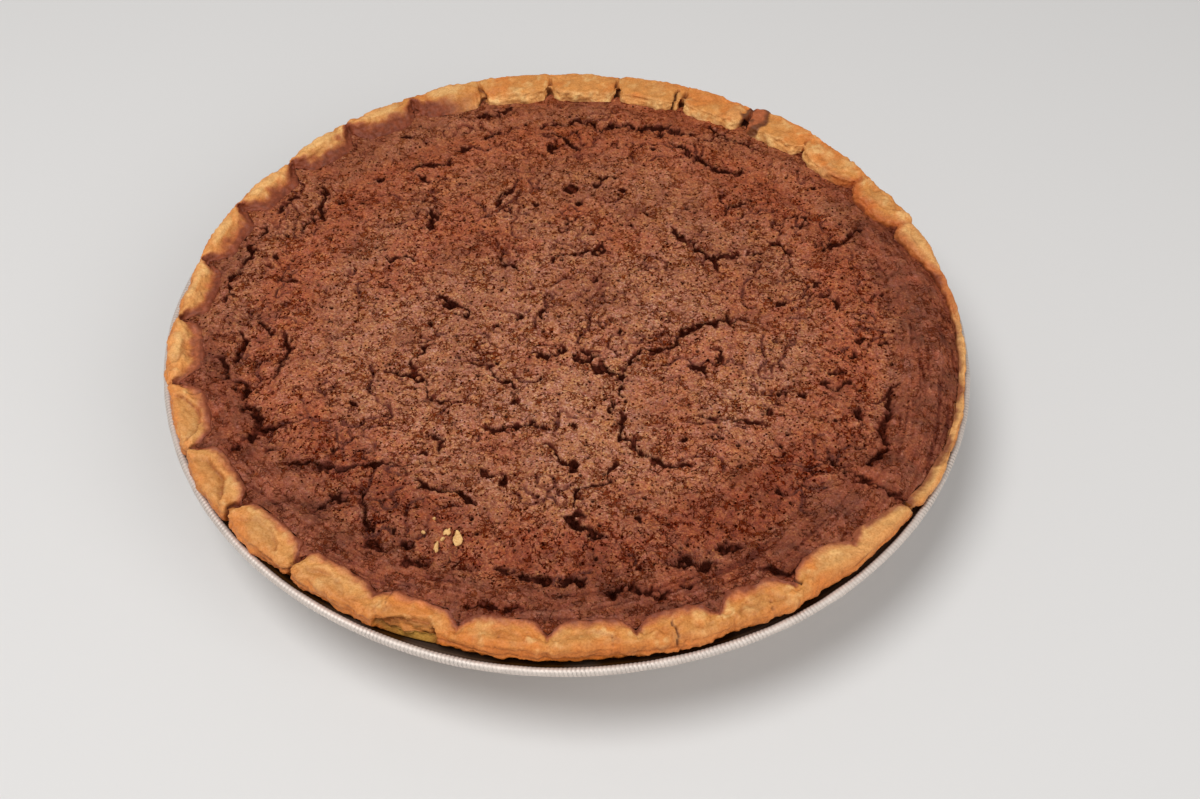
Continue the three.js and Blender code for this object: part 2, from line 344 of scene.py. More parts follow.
class Surface:
    """A material in the making; each input of its nodes is a value or another node's socket."""

    def __init__(self, name):
        self.material = bpy.data.materials.new(name)
        self.material.use_nodes = True
        self.tree = self.material.node_tree
        self.tree.nodes.clear()

    def add(self, kind, inputs, **settings):
        node = self.tree.nodes.new(kind)
        for key, value in settings.items():
            setattr(node, key, value)
        for key, value in inputs.items():
            if isinstance(value, bpy.types.NodeSocket):
                self.tree.links.new(value, node.inputs[key])
            else:
                node.inputs[key].default_value = value
        return node

    def read_mesh(self):
        """Notes the place on the object, and gives the mesh's tone: its colour and bareness."""
        self.place = self.add("ShaderNodeTexCoord", {}).outputs["Object"]
        tone = self.add("ShaderNodeAttribute", {}, attribute_name="tone")
        return tone.outputs["Color"], tone.outputs["Alpha"]

    def math(self, operation, *values):
        return self.add("ShaderNodeMath", dict(enumerate(values)), operation=operation).outputs[0]

    def times(self, first, second):
        node = self.add("ShaderNodeVectorMath", {0: first, 1: second}, operation="MULTIPLY")
        return node.outputs[0]

    def remap(self, value, low, high, to_low, to_high, **settings):
        """A value's span stretched to another span, and cut off at its ends."""
        inputs = {"Value": value, "From Min": low, "From Max": high, "To Min": to_low, "To Max": to_high}
        return self.add("ShaderNodeMapRange", inputs, **settings).outputs["Result"]

    def clouds(self, per_metre, detail, roughness):
        inputs = {"Vector": self.place, "Scale": per_metre, "Detail": detail, "Roughness": roughness}
        return self.add("ShaderNodeTexNoise", inputs).outputs["Fac"]

    def cells(self, per_metre):
        """The distance to the nearest of scattered points, and two random numbers of that point."""
        inputs = {"Vector": self.place, "Scale": per_metre, "Randomness": 1.0}
        net = self.add("ShaderNodeTexVoronoi", inputs, feature="F1")
        draw = self.add("ShaderNodeSeparateColor", {"Color": net.outputs["Color"]})
        return net.outputs["Distance"], draw.outputs["Red"], draw.outputs["Green"]

    def ramp(self, value, *stops):
        """A colour for each value, through a few stops of position and colour."""
        ramp = self.add("ShaderNodeValToRGB", {"Fac": value})
        elements = ramp.color_ramp.elements
        while len(elements) < len(stops):
            elements.new(0.5)
        for element, (position, colour) in zip(elements, stops):
            element.position = position
            element.color = (*colour, 1.0)
        return ramp.outputs["Color"]

    def faded(self, tint, part):
        """A multiplier that fades to plain white where the part is 0."""
        return self.add("ShaderNodeMix", {0: part, 6: (*WHITE, 1.0), 7: tint}, data_type="RGBA").outputs[2]

    def bump(self, height, strength, distance, under=None, **settings):
        """A bumped normal, laid over another one if there is one."""
        inputs = {"Height": height, "Strength": strength, "Distance": distance}
        if under is not None:
            inputs["Normal"] = under
        return self.add("ShaderNodeBump", inputs, **settings).outputs["Normal"]

    def pores(self, per_metre, radius, share):
        """0 in small round pores scattered in a jittered net of cells, 1 outside them."""
        distance, chance, size = self.cells(per_metre)
        reach = self.remap(size, 0.0, 1.0, 0.55 * radius, 1.25 * radius)
        near = self.math("DIVIDE", distance, reach)
        edge = self.remap(near, 0.7, 1.2, 0.0, 1.0, interpolation_type="SMOOTHSTEP")
        return self.math("MAXIMUM", edge, self.math("GREATER_THAN", chance, share))

    def fissures(self, per_metre, width, low, high):
        """0 in short jagged fissures at one scale, 1 outside them."""
        slope = self.math("SUBTRACT", self.clouds(per_metre, 3, 0.62), 0.5)
        line = self.remap(self.math("ABSOLUTE", slope), 0.25 * width, width, 0.0, 1.0)
        absent = self.remap(self.clouds(0.71 * per_metre, 1, 0.5), low, high, 1.0, 0.0)
        return self.math("MAXIMUM", line, absent)

    def finish(self, looks):
        shader = self.add("ShaderNodeBsdfPrincipled", looks)
        self.add("ShaderNodeOutputMaterial", {"Surface": shader.outputs[0]})
        return self.material


def custard_material():
    """Matt, porous baked custard: toned by the mesh, with grains and pinholes of its own, painted glints
    on the grains, painted highlights and shade on the crumbs, and painted shade in the pinholes under
    painted highlights on their rims.
    """
    surface = Surface("baked_custard")
    tone, bare = surface.read_mesh()
    grain, draw, second_draw = surface.cells(2500)
    # Each grain gets its own tone; the lightest are painted glints, greyish white, as tiny highlights.
    grain_tint = surface.ramp(draw, (0.0, (0.5, 0.36, 0.28)), (0.25, (0.82, 0.72, 0.64)), (0.55, WHITE),
                              (0.85, (1.14, 1.36, 1.56)), (1.0, (1.34, 1.9, 2.4)))
    hue_tint = surface.ramp(second_draw, (0.0, (1.0, 0.95, 1.16)), (0.5, WHITE), (1.0, (1.02, 1.08, 0.8)))
    # Painted highlight and shade: the crumb that bumps the surface is painted lighter and greyer on its
    # tops and darker in its hollows.
    crumb = surface.clouds(1000, 5, 0.65)
    crumb_light_and_shade_tint = surface.ramp(crumb, (0.32, (0.86, 0.8, 0.75)), (0.5, WHITE), (0.68, (1.1, 1.2, 1.3)))
    drift = surface.clouds(330, 3, 0.65)
    drift_tint = surface.ramp(drift, (0.32, (0.96, 0.96, 1.18)), (0.5, WHITE), (0.68, (1.04, 1.03, 0.76)))
    tint = surface.times(surface.times(grain_tint, hue_tint), surface.times(drift_tint, crumb_light_and_shade_tint))
    colour = surface.times(tone, surface.faded(tint, bare))
    fissure = surface.math("MULTIPLY", surface.fissures(230, 0.03, 0.5, 0.54),
                           surface.fissures(520, 0.05, 0.53, 0.58))
    fissure_tint = surface.ramp(fissure, (0.0, (0.44, 0.24, 0.14)), (0.4, (0.6, 0.42, 0.32)), (1.0, WHITE))
    colour = surface.times(colour, surface.faded(fissure_tint, bare))
    pore = surface.math("MULTIPLY", surface.pores(900, 0.27, 0.45), surface.pores(430, 0.17, 0.5))
    filmed = surface.remap(bare, 0.58, 0.68, 0.9, 0.0)
    open_pore = surface.math("MAXIMUM", pore, filmed)
    # Painted shade in the pinholes, and a painted highlight on their rims.
    pore_shade_and_rim_highlight = surface.ramp(open_pore, (0.0, (0.2, 0.09, 0.05)), (0.35, (0.45, 0.28, 0.2)),
                             (0.6, (1.2, 1.3, 1.35)), (0.82, (1.5, 1.8, 1.9)), (1.0, WHITE))
    colour = surface.times(colour, pore_shade_and_rim_highlight)
    normal = surface.bump(crumb, 1.0, 0.0007)
    normal = surface.bump(grain, 0.6, 0.0002, normal, invert=True)
    normal = surface.bump(fissure, 0.8, 0.0005, normal)
    normal = surface.bump(open_pore, 0.8, 0.0004, normal)
    clean = surface.math("MULTIPLY", open_pore, fissure)
    gleam = surface.math("MULTIPLY", surface.remap(bare, 0.0, 1.0, 0.0, 0.45), clean)
    return surface.finish({"Base Color": colour, "Roughness": 0.55, "Specular IOR Level": gleam,
                           "Normal": normal})


def pastry_material(name):
    """Matt baked shortcrust: toned by the mesh, with floury speckle and fine crazing."""
    surface = Surface(name)
    tone, bare = surface.read_mesh()
    blotch = surface.clouds(420, 4, 0.65)
    grain = surface.clouds(1900, 4, 0.7)
    grain_tint = surface.ramp(grain, (0.3, (0.78, 0.68, 0.56)), (0.5, WHITE), (0.7, (1.14, 1.24, 1.4)))
    colour = surface.times(tone, surface.remap(blotch, 0.3, 0.7, 0.9, 1.1))
    colour = surface.times(colour, grain_tint)
    normal = surface.bump(blotch, 0.6, 0.0008)
    normal = surface.bump(grain, 0.4, 0.0002, normal)
    return surface.finish({"Base Color": colour, "Roughness": 0.52, "Specular IOR Level": 0.3,
                           "Normal": normal})


def foil_material():
    """Thin aluminium, satin with fine handling marks; in the gap under the crust it is painted dark and
    dull, for baked-on grease and for the gap's shade.
    """
    surface = Surface("pressed_foil")
    tone, bare = surface.read_mesh()
    dullness = surface.remap(surface.clouds(160, 5, 0.65), 0.3, 0.7, 0.5, 0.66)
    crinkle = surface.clouds(700, 3, 0.65)
    colour = surface.times(tone, surface.remap(crinkle, 0.3, 0.7, 0.9, 1.06))
    return surface.finish({"Base Color": colour, "Metallic": bare, "Specular IOR Level": bare,
                           "Roughness": dullness, "Normal": surface.bump(crinkle, 0.3, 0.0003)})


# ---------------------------------------------------------------- filling

FILL_RINGS = 290
FILL_SECTORS = 6

# Cracks and crevices in the filling's top: a width, then x and y of each point along it.
CRACKS = [
    (1.1, 49, 1, 42, -0.5, 36, -2.5, 31, -5, 29, -9.5, 24, -11.5, 20.5, -11, 18, -14, 17.5, -17, 15, -20),
    (0.9, -9, -13, -5, -15, -1, -13.5, -1.5, -11.5), (1.2, 2, -16, 5, -16.5, 8, -14, 6, -13, 4.5, -12),
    (2.2, 8, -17, 10, -19.5, 14, -20.5, 15.5, -23), (0.9, 15.5, -23, 14, -26, 14.3, -29),
    (1.8, 12, -30.5, 12.5, -34), (1.2, 15.5, -34, 15.5, -37, 14.5, -40, 15.5, -43, 17.5, -43, 20, -44),
    (0.9, 18, -45, 21.5, -49, 24.5, -51, 28, -52, 35, -51.5),
    (1.2, -19, -40, -17, -40.5, -14, -39.5, -10, -40, -7, -38.5, -4.5, -39),
    (0.9, -25, -17.5, -21, -18, -19.5, -20.5, -18, -23, -15, -24.5, -12, -27, -13, -29.5, -13.5, -32),
    (0.8, -47, -20.5, -44, -22, -41, -22, -38, -24, -36.5, -24, -36, -28, -35, -30, -32, -31, -29, -31),
    (0.7, -37.5, -11.8, -38.5, -14, -41, -16, -41, -20),
    (0.6, -34.5, -42, -32.5, -42.5, -31, -45.5, -30.5, -48),
    (0.7, -4, -45, -2.5, -47, -1, -49.5, 0.5, -51, 2.5, -52.5),
    (0.9, 13.5, -50, 13, -52.5, 10.5, -54.5, 12.5, -57, 10.5, -58.5, 5, -59.5, 4, -62, 3.5, -65.5),
    (1.7, 5, -67.5, 2, -69, 3, -70.5, 5, -72, 8, -73.5, 11, -74.5),
    (1.7, -20, -54, -19.5, -55.5, -17.5, -55.5), (1.0, -15, -56, -14, -58, -13, -59),
    (0.9, -36, -57, -35, -59, -33, -60, -29, -60.5, -26, -61.5, -23, -63.5, -20.5, -65),
    (0.7, -60, -54, -55, -54, -50, -53, -45, -52.5, -41, -52.5, -39, -54.5),
    (1.3, -69.5, -53, -66, -53.5, -63, -52, -60, -54.5), (1.6, -73.5, -47.5, -71.5, -48),
    (0.9, -92, -17, -90.5, -19, -89.5, -22, -89, -25),
    (1.4, -86.5, -24, -85, -26, -83.8, -28.5, -83.8, -31.5),
    (2.4, -84, -34, -81, -33.8, -80, -36, -79, -38, -79.3, -40.5),
    (1.4, -79, -41.5, -76.5, -41, -74.5, -39.5, -72, -41), (1.0, -79.3, -42, -79.8, -46),
    (1.3, -83, -48.5, -81.5, -47.5),
    (1.3, -76.8, -8, -75.8, -11, -74.8, -13.5, -75, -17, -76, -20, -77, -23),
    (0.9, -84.5, 0, -83.5, -3, -81.5, -5.5, -80.2, -8.5),
    (0.7, -89, -7, -86, -10, -87.5, -14, -88.5, -17),
    (1.0, -88, 35, -88.5, 32, -91.5, 28, -90.5, 24, -92, 20, -92.8, 16, -94.5, 14, -94.8, 9, -95, 5),
    (1.5, -73.8, 54, -73.8, 50, -74, 46, -73, 41, -72, 40), (0.7, -75.5, 45, -76, 40, -77.5, 37, -78, 34),
    (0.8, -81, 49, -83, 47.5, -84.5, 44, -86, 41), (1.3, -86, 19.5, -84.5, 18.5),
    (0.8, -82, 15.5, -79, 14, -77.2, 13.5, -77.3, 16),
    (0.9, -52, 24, -50.5, 22.5, -48.5, 24, -45.5, 24.5, -44, 21.5), (1.2, -60, 24.5, -58.5, 23),
    (1.0, -42, 44.5, -40, 42, -39.8, 38, -40.5, 35.5), (1.3, -36, 9, -33.5, 6, -30, 4, -28, 3.5, -27, 0),
    (1.1, -20, 27, -19, 24, -19, 21.5, -16, 21, -15, 20, -14.5, 18), (1.2, -5.5, 5, -6.5, 2, -7.5, 0),
    (1.1, -18, 54, -20.5, 51.5, -21.5, 48, -22, 46.5),
    (0.9, -4, 22.5, -4, 25, -2, 26.5, 1.5, 26.5, 4, 27.5, 7, 27, 9, 29.5, 9, 32),
    (1.5, 6.5, 56, 8.5, 58, 10.5, 60.5, 14, 60), (1.6, -60, 56.5, -57.5, 57.5, -56, 59),
    (1.0, -46.5, 60, -44, 57), (1.4, -49, 63, -46, 65, -43, 64.5, -40.5, 65, -37, 66.5),
    (1.3, -36.5, 71.5, -34.5, 72, -33, 73, -31.5, 73.5, -29, 72.5),
    (1.0, -27.5, 79.5, -25, 80, -23.5, 82.5), (1.8, -30, 89, -25, 90.5, -21, 92, -20, 94),
    (1.2, -9.5, 81, -6, 81, -4, 79.5, -1.5, 76.5, 1.5, 73.5),
    (0.9, -9.5, 85.5, -6, 87, -1.5, 87.5, 1, 89, 5, 89, 6.5, 86, 8, 83),
    (1.4, 8, 83, 11, 85.5, 12, 87, 16, 87, 19, 86.5),
    (2.0, 20, 85.5, 25, 86, 29, 85.5, 33, 83.5, 36.5, 82.5), (1.2, 26.5, 85, 26, 80),
    (1.8, 31, 76.5, 33.5, 75.5, 36, 70.5, 38.5, 70, 41, 67, 43, 65, 47, 64.5, 50, 64, 51.5, 66),
    (0.9, 42, 86.5, 43.5, 84.5, 46, 82.5, 47.5, 80, 50, 80, 54, 77.5, 56, 74.5),
    (1.5, 29, 38.5, 31, 35, 35, 31.5, 36, 28.5, 39, 27, 41.5, 24, 42.5, 21),
    (1.9, 41.5, 24.5, 43.5, 26.5, 46, 26), (0.8, 46, 26, 48, 28, 50, 27, 54, 28),
    (1.1, 45, 45, 48, 48, 51.5, 50), (1.0, 58, 33.5, 60.5, 31, 63, 28, 63, 25),
    (1.1, 56, 9.5, 58, 7, 61, 8), (1.0, 64.5, 40, 67, 40, 69, 41.5, 69.5, 45),
    (1.5, 72.5, 29, 75, 31.5, 78, 33.5, 80, 34.5, 82, 37, 85, 38.5), (1.7, 68.7, 14.5, 70, 17),
    (1.0, 71, 11, 74, 9.5, 73.8, 5),
    (1.6, 89, -22.5, 86, -24, 85, -27, 84.5, -30, 84, -33.5, 82.5, -36, 81.5, -39, 82, -42.5),
    (1.4, 82, -43, 80.5, -46, 78.5, -48, 77, -50.5), (1.7, 68.5, -22, 70, -24, 72.5, -24.5, 75, -21.5),
    (1.0, 69.5, -19, 73.5, -17.5), (1.1, 77, -31, 76.8, -36.5),
    (1.0, 32, -16.5, 35, -17.5, 36.5, -19, 36.5, -20.5), (1.0, 41, -10, 41.5, -14, 39.5, -17),
    (0.7, 35, -35.5, 38, -36, 42, -36, 45, -36.5, 49, -37, 51.5, -38), (1.2, 56, -27.5, 59, -26.5),
    (1.3, 66.5, -49, 69.5, -49.5), (1.0, 67.5, -49.5, 70, -51, 73.5, -53.2),
    (2.7, 74, -53.6, 77.3, -56.6), (1.2, 77.3, -56.6, 80.4, -58.1), (2.0, 80.4, -58.1, 84.1, -58.9),
    (1.2, 84.1, -58.9, 88, -60), (1.7, 37, -78, 40, -76.5, 44, -75.5),
    (3.4, 29, -81, 31, -80.5, 35, -82.5, 36.5, -81.5),
    (1.0, 48.5, -84, 50, -83, 53, -84.5, 56, -84, 58.5, -79), (2.8, 0.5, -87, 4, -86.5, 6.5, -88),
    (2.2, 11, -91, 14, -90, 17, -89, 19, -90.5), (3.2, 20, -90.5, 23, -91, 26, -90.5),
    (1.5, 29, -88.5, 31, -88), (1.5, -59.5, -68, -57, -64, -55, -61.5, -54.5, -63, -52.5, -63.5),
    (0.7, -50, -61, -48.5, -64, -47, -69, -45, -72), (2.1, -46.5, -75.5, -44, -77, -41, -79),
    (1.3, -37.5, -76, -35, -77.5), (1.9, -37, -81.5, -34.5, -83, -31.5, -82),
    (1.3, -15, -83.5, -13, -83.5, -11, -84), (2.3, -8, -84.5, -6.5, -87, -4, -87.5, -1.5, -86.5),
    (1.0, -21, -95, -16, -95, -12, -96.5, -9, -96),
]

# Lone holes where a bubble broke: x, y and radius.
HOLES = [
    (-6.7, 74, 1.7), (-0.5, 55, 1.7), (1.8, 48.2, 1.0), (-11, 47.5, 1.0), (14.8, 54, 0.8),
    (33.3, 47, 1.0), (31.8, 15.2, 0.8), (-68.5, 48.7, 1.0), (-61.8, 41, 0.7), (-84, 24, 0.9),
    (-53.5, 26.5, 0.7), (-51, 11, 0.9), (-33, 5, 1.3), (-13.5, 0.5, 0.9), (-7, 1, 1.0),
    (8, 15.8, 0.7), (7, 26.6, 0.9), (6, 35, 0.7), (2.5, -38.5, 1.1), (2.5, -52.5, 1.4),
    (36.8, -18.5, 0.9), (53, -33.3, 1.3), (62, -27, 1.1), (79.5, -6, 1.1), (86, -6.7, 1.0),
    (31.3, -43, 0.8), (45.2, -51.7, 0.9), (55, -44.5, 0.7), (54, -58.8, 1.0), (19, -68.7, 0.9),
    (20, -62, 0.6), (74.5, -21.5, 1.0), (72, 57, 0.8), (49, 57.5, 0.7), (44, 52.5, 0.6),
    (-54.8, -32.5, 0.9), (-38.5, -12, 0.7), (-35, -48, 0.8), (-37, -3, 0.8), (77, -12, 0.8),
    (44.5, 1.5, 0.9), (32.5, -4.5, 1.2), (24, 73.5, 0.8), (71.5, 32, 0.9), (88, 11.5, 0.8),
    (-52, 78, 0.9), (-43, 64.5, 1.0), (-33.5, 72.5, 1.1), (10, -29, 0.5), (14.5, -5, 0.8),
]

# Radii between which each zone of the filling sets in, or ends.
TORN_RING = (66, 80)
ORANGE_RING = (62, 76)
ORANGE_END = (84, 90)
DARK_BAND = (84, 93)

# Spans of the filling's edge: first and last angle, and the degrees over which they ease out.
TORN_SIDE = (196, 322, 24)
TROUGH_SIDE = (225, 320, 25)

# The pale rose sheen painted on the filling's middle, a painted highlight of the overhead light: its
# middle, and its reach sideways and in depth.
SHEEN_CENTRE = (2, -22)
SHEEN_WIDTH = 62
SHEEN_DEPTH = 48

CUSTARD_PALE = srgb(208, 138, 99)
CUSTARD_ROSE_SHEEN = srgb(194, 119, 82)
CUSTARD_MID = srgb(179, 102, 63)
CUSTARD_ORANGE = srgb(180, 73, 23)
CUSTARD_BAND = srgb(149, 75, 48)
CUSTARD_BAND_SHEEN = srgb(166, 104, 84)
CUSTARD_FISSURE = srgb(128, 54, 28)
CUSTARD_DEEP = srgb(104, 38, 16)
CUSTARD_SHADE = srgb(52, 15, 5)


def crack_field(x, y):
    """How deep the cracks and holes cut at each place, in millimetres."""
    wander_x = x + rough(31, [(3.4, 0.75), (1.3, 0.75)], x, y)
    wander_y = y + rough(33, [(3.4, 0.75), (1.3, 0.75)], x, y)
    unevenness = 0.85 + rough(35, [(2.6, 0.45), (1.0, 0.55)], x, y)
    depth = np.zeros(len(x))
    near = np.zeros(len(x))
    for width, *places in CRACKS:
        corners = np.reshape(places, (-1, 2)).astype(float)
        reach = width + 3
        inside = (x > corners[:, 0].min() - reach) & (x < corners[:, 0].max() + reach)
        inside &= (y > corners[:, 1].min() - reach) & (y < corners[:, 1].max() + reach)
        chosen = np.flatnonzero(inside)
        here = np.stack([wander_x[chosen], wander_y[chosen]], -1)
        total = len(corners) - 1
        for index in range(total):
            start = corners[index]
            run = corners[index + 1] - start
            along = np.clip((here - start) @ run / (run @ run), 0, 1)
            distance = np.linalg.norm(here - start - along[:, None] * run, axis=1)
            travel = (index + along) / total
            taper = np.clip(0.5 + 5 * np.minimum(travel, 1 - travel), 0, 1)
            half = np.maximum((0.34 * width * taper + 0.28) * unevenness[chosen], 0.14)
            cut = min(0.6 + 0.5 * width, 1.7) * taper
            cut = cut * np.clip(1.15 - distance / half, 0, 1) ** 0.6
            depth[chosen] = np.maximum(depth[chosen], cut)
            near[chosen] = np.maximum(near[chosen], falling(distance - half, 0, 1.4))
    for hole_x, hole_y, radius in HOLES:
        distance = np.hypot(wander_x - hole_x, 0.85 * (wander_y - hole_y)) / radius
        cut = (0.5 + 0.8 * radius) * np.clip(1 - (distance / 1.1) ** 2, 0, 1) ** 0.8
        depth = np.maximum(depth, cut)
    frayed = near * rising(noise(37, 1.5, x, y) + 0.4 * noise(38, 0.8, x, y), 0.35, 0.6)
    return np.maximum(depth, 0.45 * frayed), near


def squiggle_field(x, y, size, seed, half, shortness):
    """Short wandering fissures of one width: 1 along the middle of each, 0 away from them."""
    step = 0.1
    waves = [noise(seed, size, x + step * aside, y + step * ahead)
             + 0.45 * noise(seed + 1, size * 0.35, x + step * aside, y + step * ahead)
             for aside, ahead in ((0, 0), (1, 0), (0, 1))]
    steepness = np.hypot(waves[1] - waves[0], waves[2] - waves[0]) / step
    distance = np.abs(waves[0]) / np.maximum(steepness, 0.5 / size)
    line = falling(distance / half, 0.5, 1.6)
    present = rising(noise(seed + 2, size * shortness, x, y), 0.02, 0.25)
    return line * present * (0.65 + 0.35 * noise(seed + 3, 1.4, x, y))


def scattered(x, y, cell, seed, jitter):
    """For the nine cells round every place: their numbers, and the distance to a point in each."""
    column, row = np.floor(x / cell), np.floor(y / cell)
    for step_x in (-1, 0, 1):
        for step_y in (-1, 0, 1):
            cells = [column + step_x, row + step_y]
            centre_x = (cells[0] + 0.5 + jitter * lattice(cells, seed)) * cell
            centre_y = (cells[1] + 0.5 + jitter * lattice(cells, seed + 1)) * cell
            yield cells, np.hypot(x - centre_x, y - centre_y)


def clump_field(x, y, cell, seed):
    """Rounded crumbs side by side: 1 on top of a crumb, 0 in the joints between them."""
    turned_x = x + 0.35 * cell * noise(seed + 5, cell * 0.8, x, y)
    turned_y = y + 0.35 * cell * noise(seed + 6, cell * 0.8, x, y)
    nearest = np.full(len(x), 9.0)
    for cells, distance in scattered(turned_x, turned_y, cell, seed, 0.45):
        size = 1 + 0.25 * lattice(cells, seed + 2)
        nearest = np.minimum(nearest, distance / cell / size)
    return np.sqrt(np.clip(1 - nearest**2, 0, 1))


def pit_field(x, y, cell, seed, share, small, large):
    """Scattered round pores: depth as a share of a pore's radius, times that radius."""
    depth = np.zeros(len(x))
    for cells, distance in scattered(x, y, cell, seed, 0.4):
        draw = 0.5 + 0.5 * lattice(cells, seed + 2)
        radius = lerp(small, large, (0.5 + 0.5 * lattice(cells, seed + 3)) ** 2)
        pore = radius * falling(distance / radius, 0.45, 1.1) * (draw < share)
        depth = np.maximum(depth, pore)
    return depth


def fill_surface(radius, angle, edge_radius, edge_height):
    """Height over the bead and tone of the filling's top at many places."""
    x, y, _ = polar(radius, angle, 0).T
    inland = rising(edge_radius - radius, 0, EDGE_SLOPE)
    band = rising(radius, *DARK_BAND) * between(angle, 206, 375, 30) + 0.35 * rising(radius, 88, 95)
    band = np.clip(band + 0.35 * noise(50, 9, x, y), 0, 1)
    trough_part = 0.55 + 0.45 * noise(5, 18, x, y)
    off_trough = (radius - TROUGH_RADIUS - 2 * noise(7, 26, x, y)) / TROUGH_WIDTH
    trough = TROUGH_DEPTH * trough_part * bell(off_trough)

    torn = rising(radius, *TORN_RING) * (0.3 + 0.7 * between(angle, 200, 330, 30))
    lumps = 0.35 * noise(11, 17, x, y) + (0.12 + 0.34 * torn) * noise(12, 8, x, y)
    lumps = lumps + (0.08 + 0.32 * torn) * noise(13, 4, x, y)
    clumps = (0.1 + 0.3 * torn) * clump_field(x, y, 3.3, 20) + 0.13 * clump_field(x, y, 1.7, 28)
    crumb = rough(14, [(2.1, 0.1), (1.1, 0.13), (0.7, 0.12)], x, y)
    crumb = crumb + clumps - 0.2 - 0.2 * torn
    cracks, near_crack = crack_field(x, y)
    web = np.maximum(squiggle_field(x, y, 11, 70, 0.4, 1.1), squiggle_field(x, y, 7, 75, 0.36, 1.3))
    web = web * (1 - 0.8 * band)
    net = np.maximum(squiggle_field(x, y, 3.6, 80, 0.27, 1.0), squiggle_field(x, y, 4.8, 85, 0.27, 0.9))
    net = net * (1 - 0.7 * band)
    pits = pit_field(x, y, 4.2, 90, 0.3, 0.35, 0.75)
    pits = np.maximum(pits, pit_field(x, y, 2.3, 94, 0.36, 0.28, 0.46)) * (1 - 0.6 * band)
    torn_edge = rough(64, [(4.5, 1), (1.8, 0.6), (0.9, 0.3)], x, y)
    torn_side = between(angle, *TORN_SIDE)
    broken = rising(torn_edge + 0.45 * near_crack, 0.3, 0.5) * bell(off_trough / 1.25)
    broken = broken * (0.15 + 0.85 * torn_side)
    arc = np.radians(angle) * radius
    skin = noise(67, 1.0, arc / 5, radius / 0.8) + 0.6 * noise(68, 1.0, arc / 2.2, radius / 0.5)
    streak = falling(np.abs(noise(58, 1.0, arc / 9, radius / 2.2)), 0.05, 0.2)
    streak = streak * rising(noise(59, 1.0, arc / 7, radius / 3), 0.0, 0.3) * band
    quiet = 1 - 0.85 * rising(cracks, 0.05, 0.6)
    height = FILL_LEVEL - trough + lumps + crumb * (1 - 0.6 * band) * quiet + 0.2 * skin * band
    height = height - cracks - 1.0 * web - 0.3 * net - 1.1 * pits * quiet - 0.35 * streak
    morsel = clump_field(x, y, 1.9, 24)
    rubble = (0.25 + 0.9 * noise(63, 1.2, x, y)) * rising(cracks, 0.6, 1.2)
    height = height - (1.5 - 1.1 * morsel) * broken + rubble
    top = lerp(edge_height + 0.25 * skin, height, inland)
    relief = rising(crumb + 0.3 * lumps, -0.3, 0.3)
    at = SimpleNamespace(x=x, y=y, radius=radius, angle=angle, band=band, torn=torn, relief=relief,
                         cracks=cracks, near_crack=near_crack, web=web, net=net, pits=pits,
                         skin=skin, streak=streak, broken=broken, morsel=morsel)
    return top, fill_tones(at)


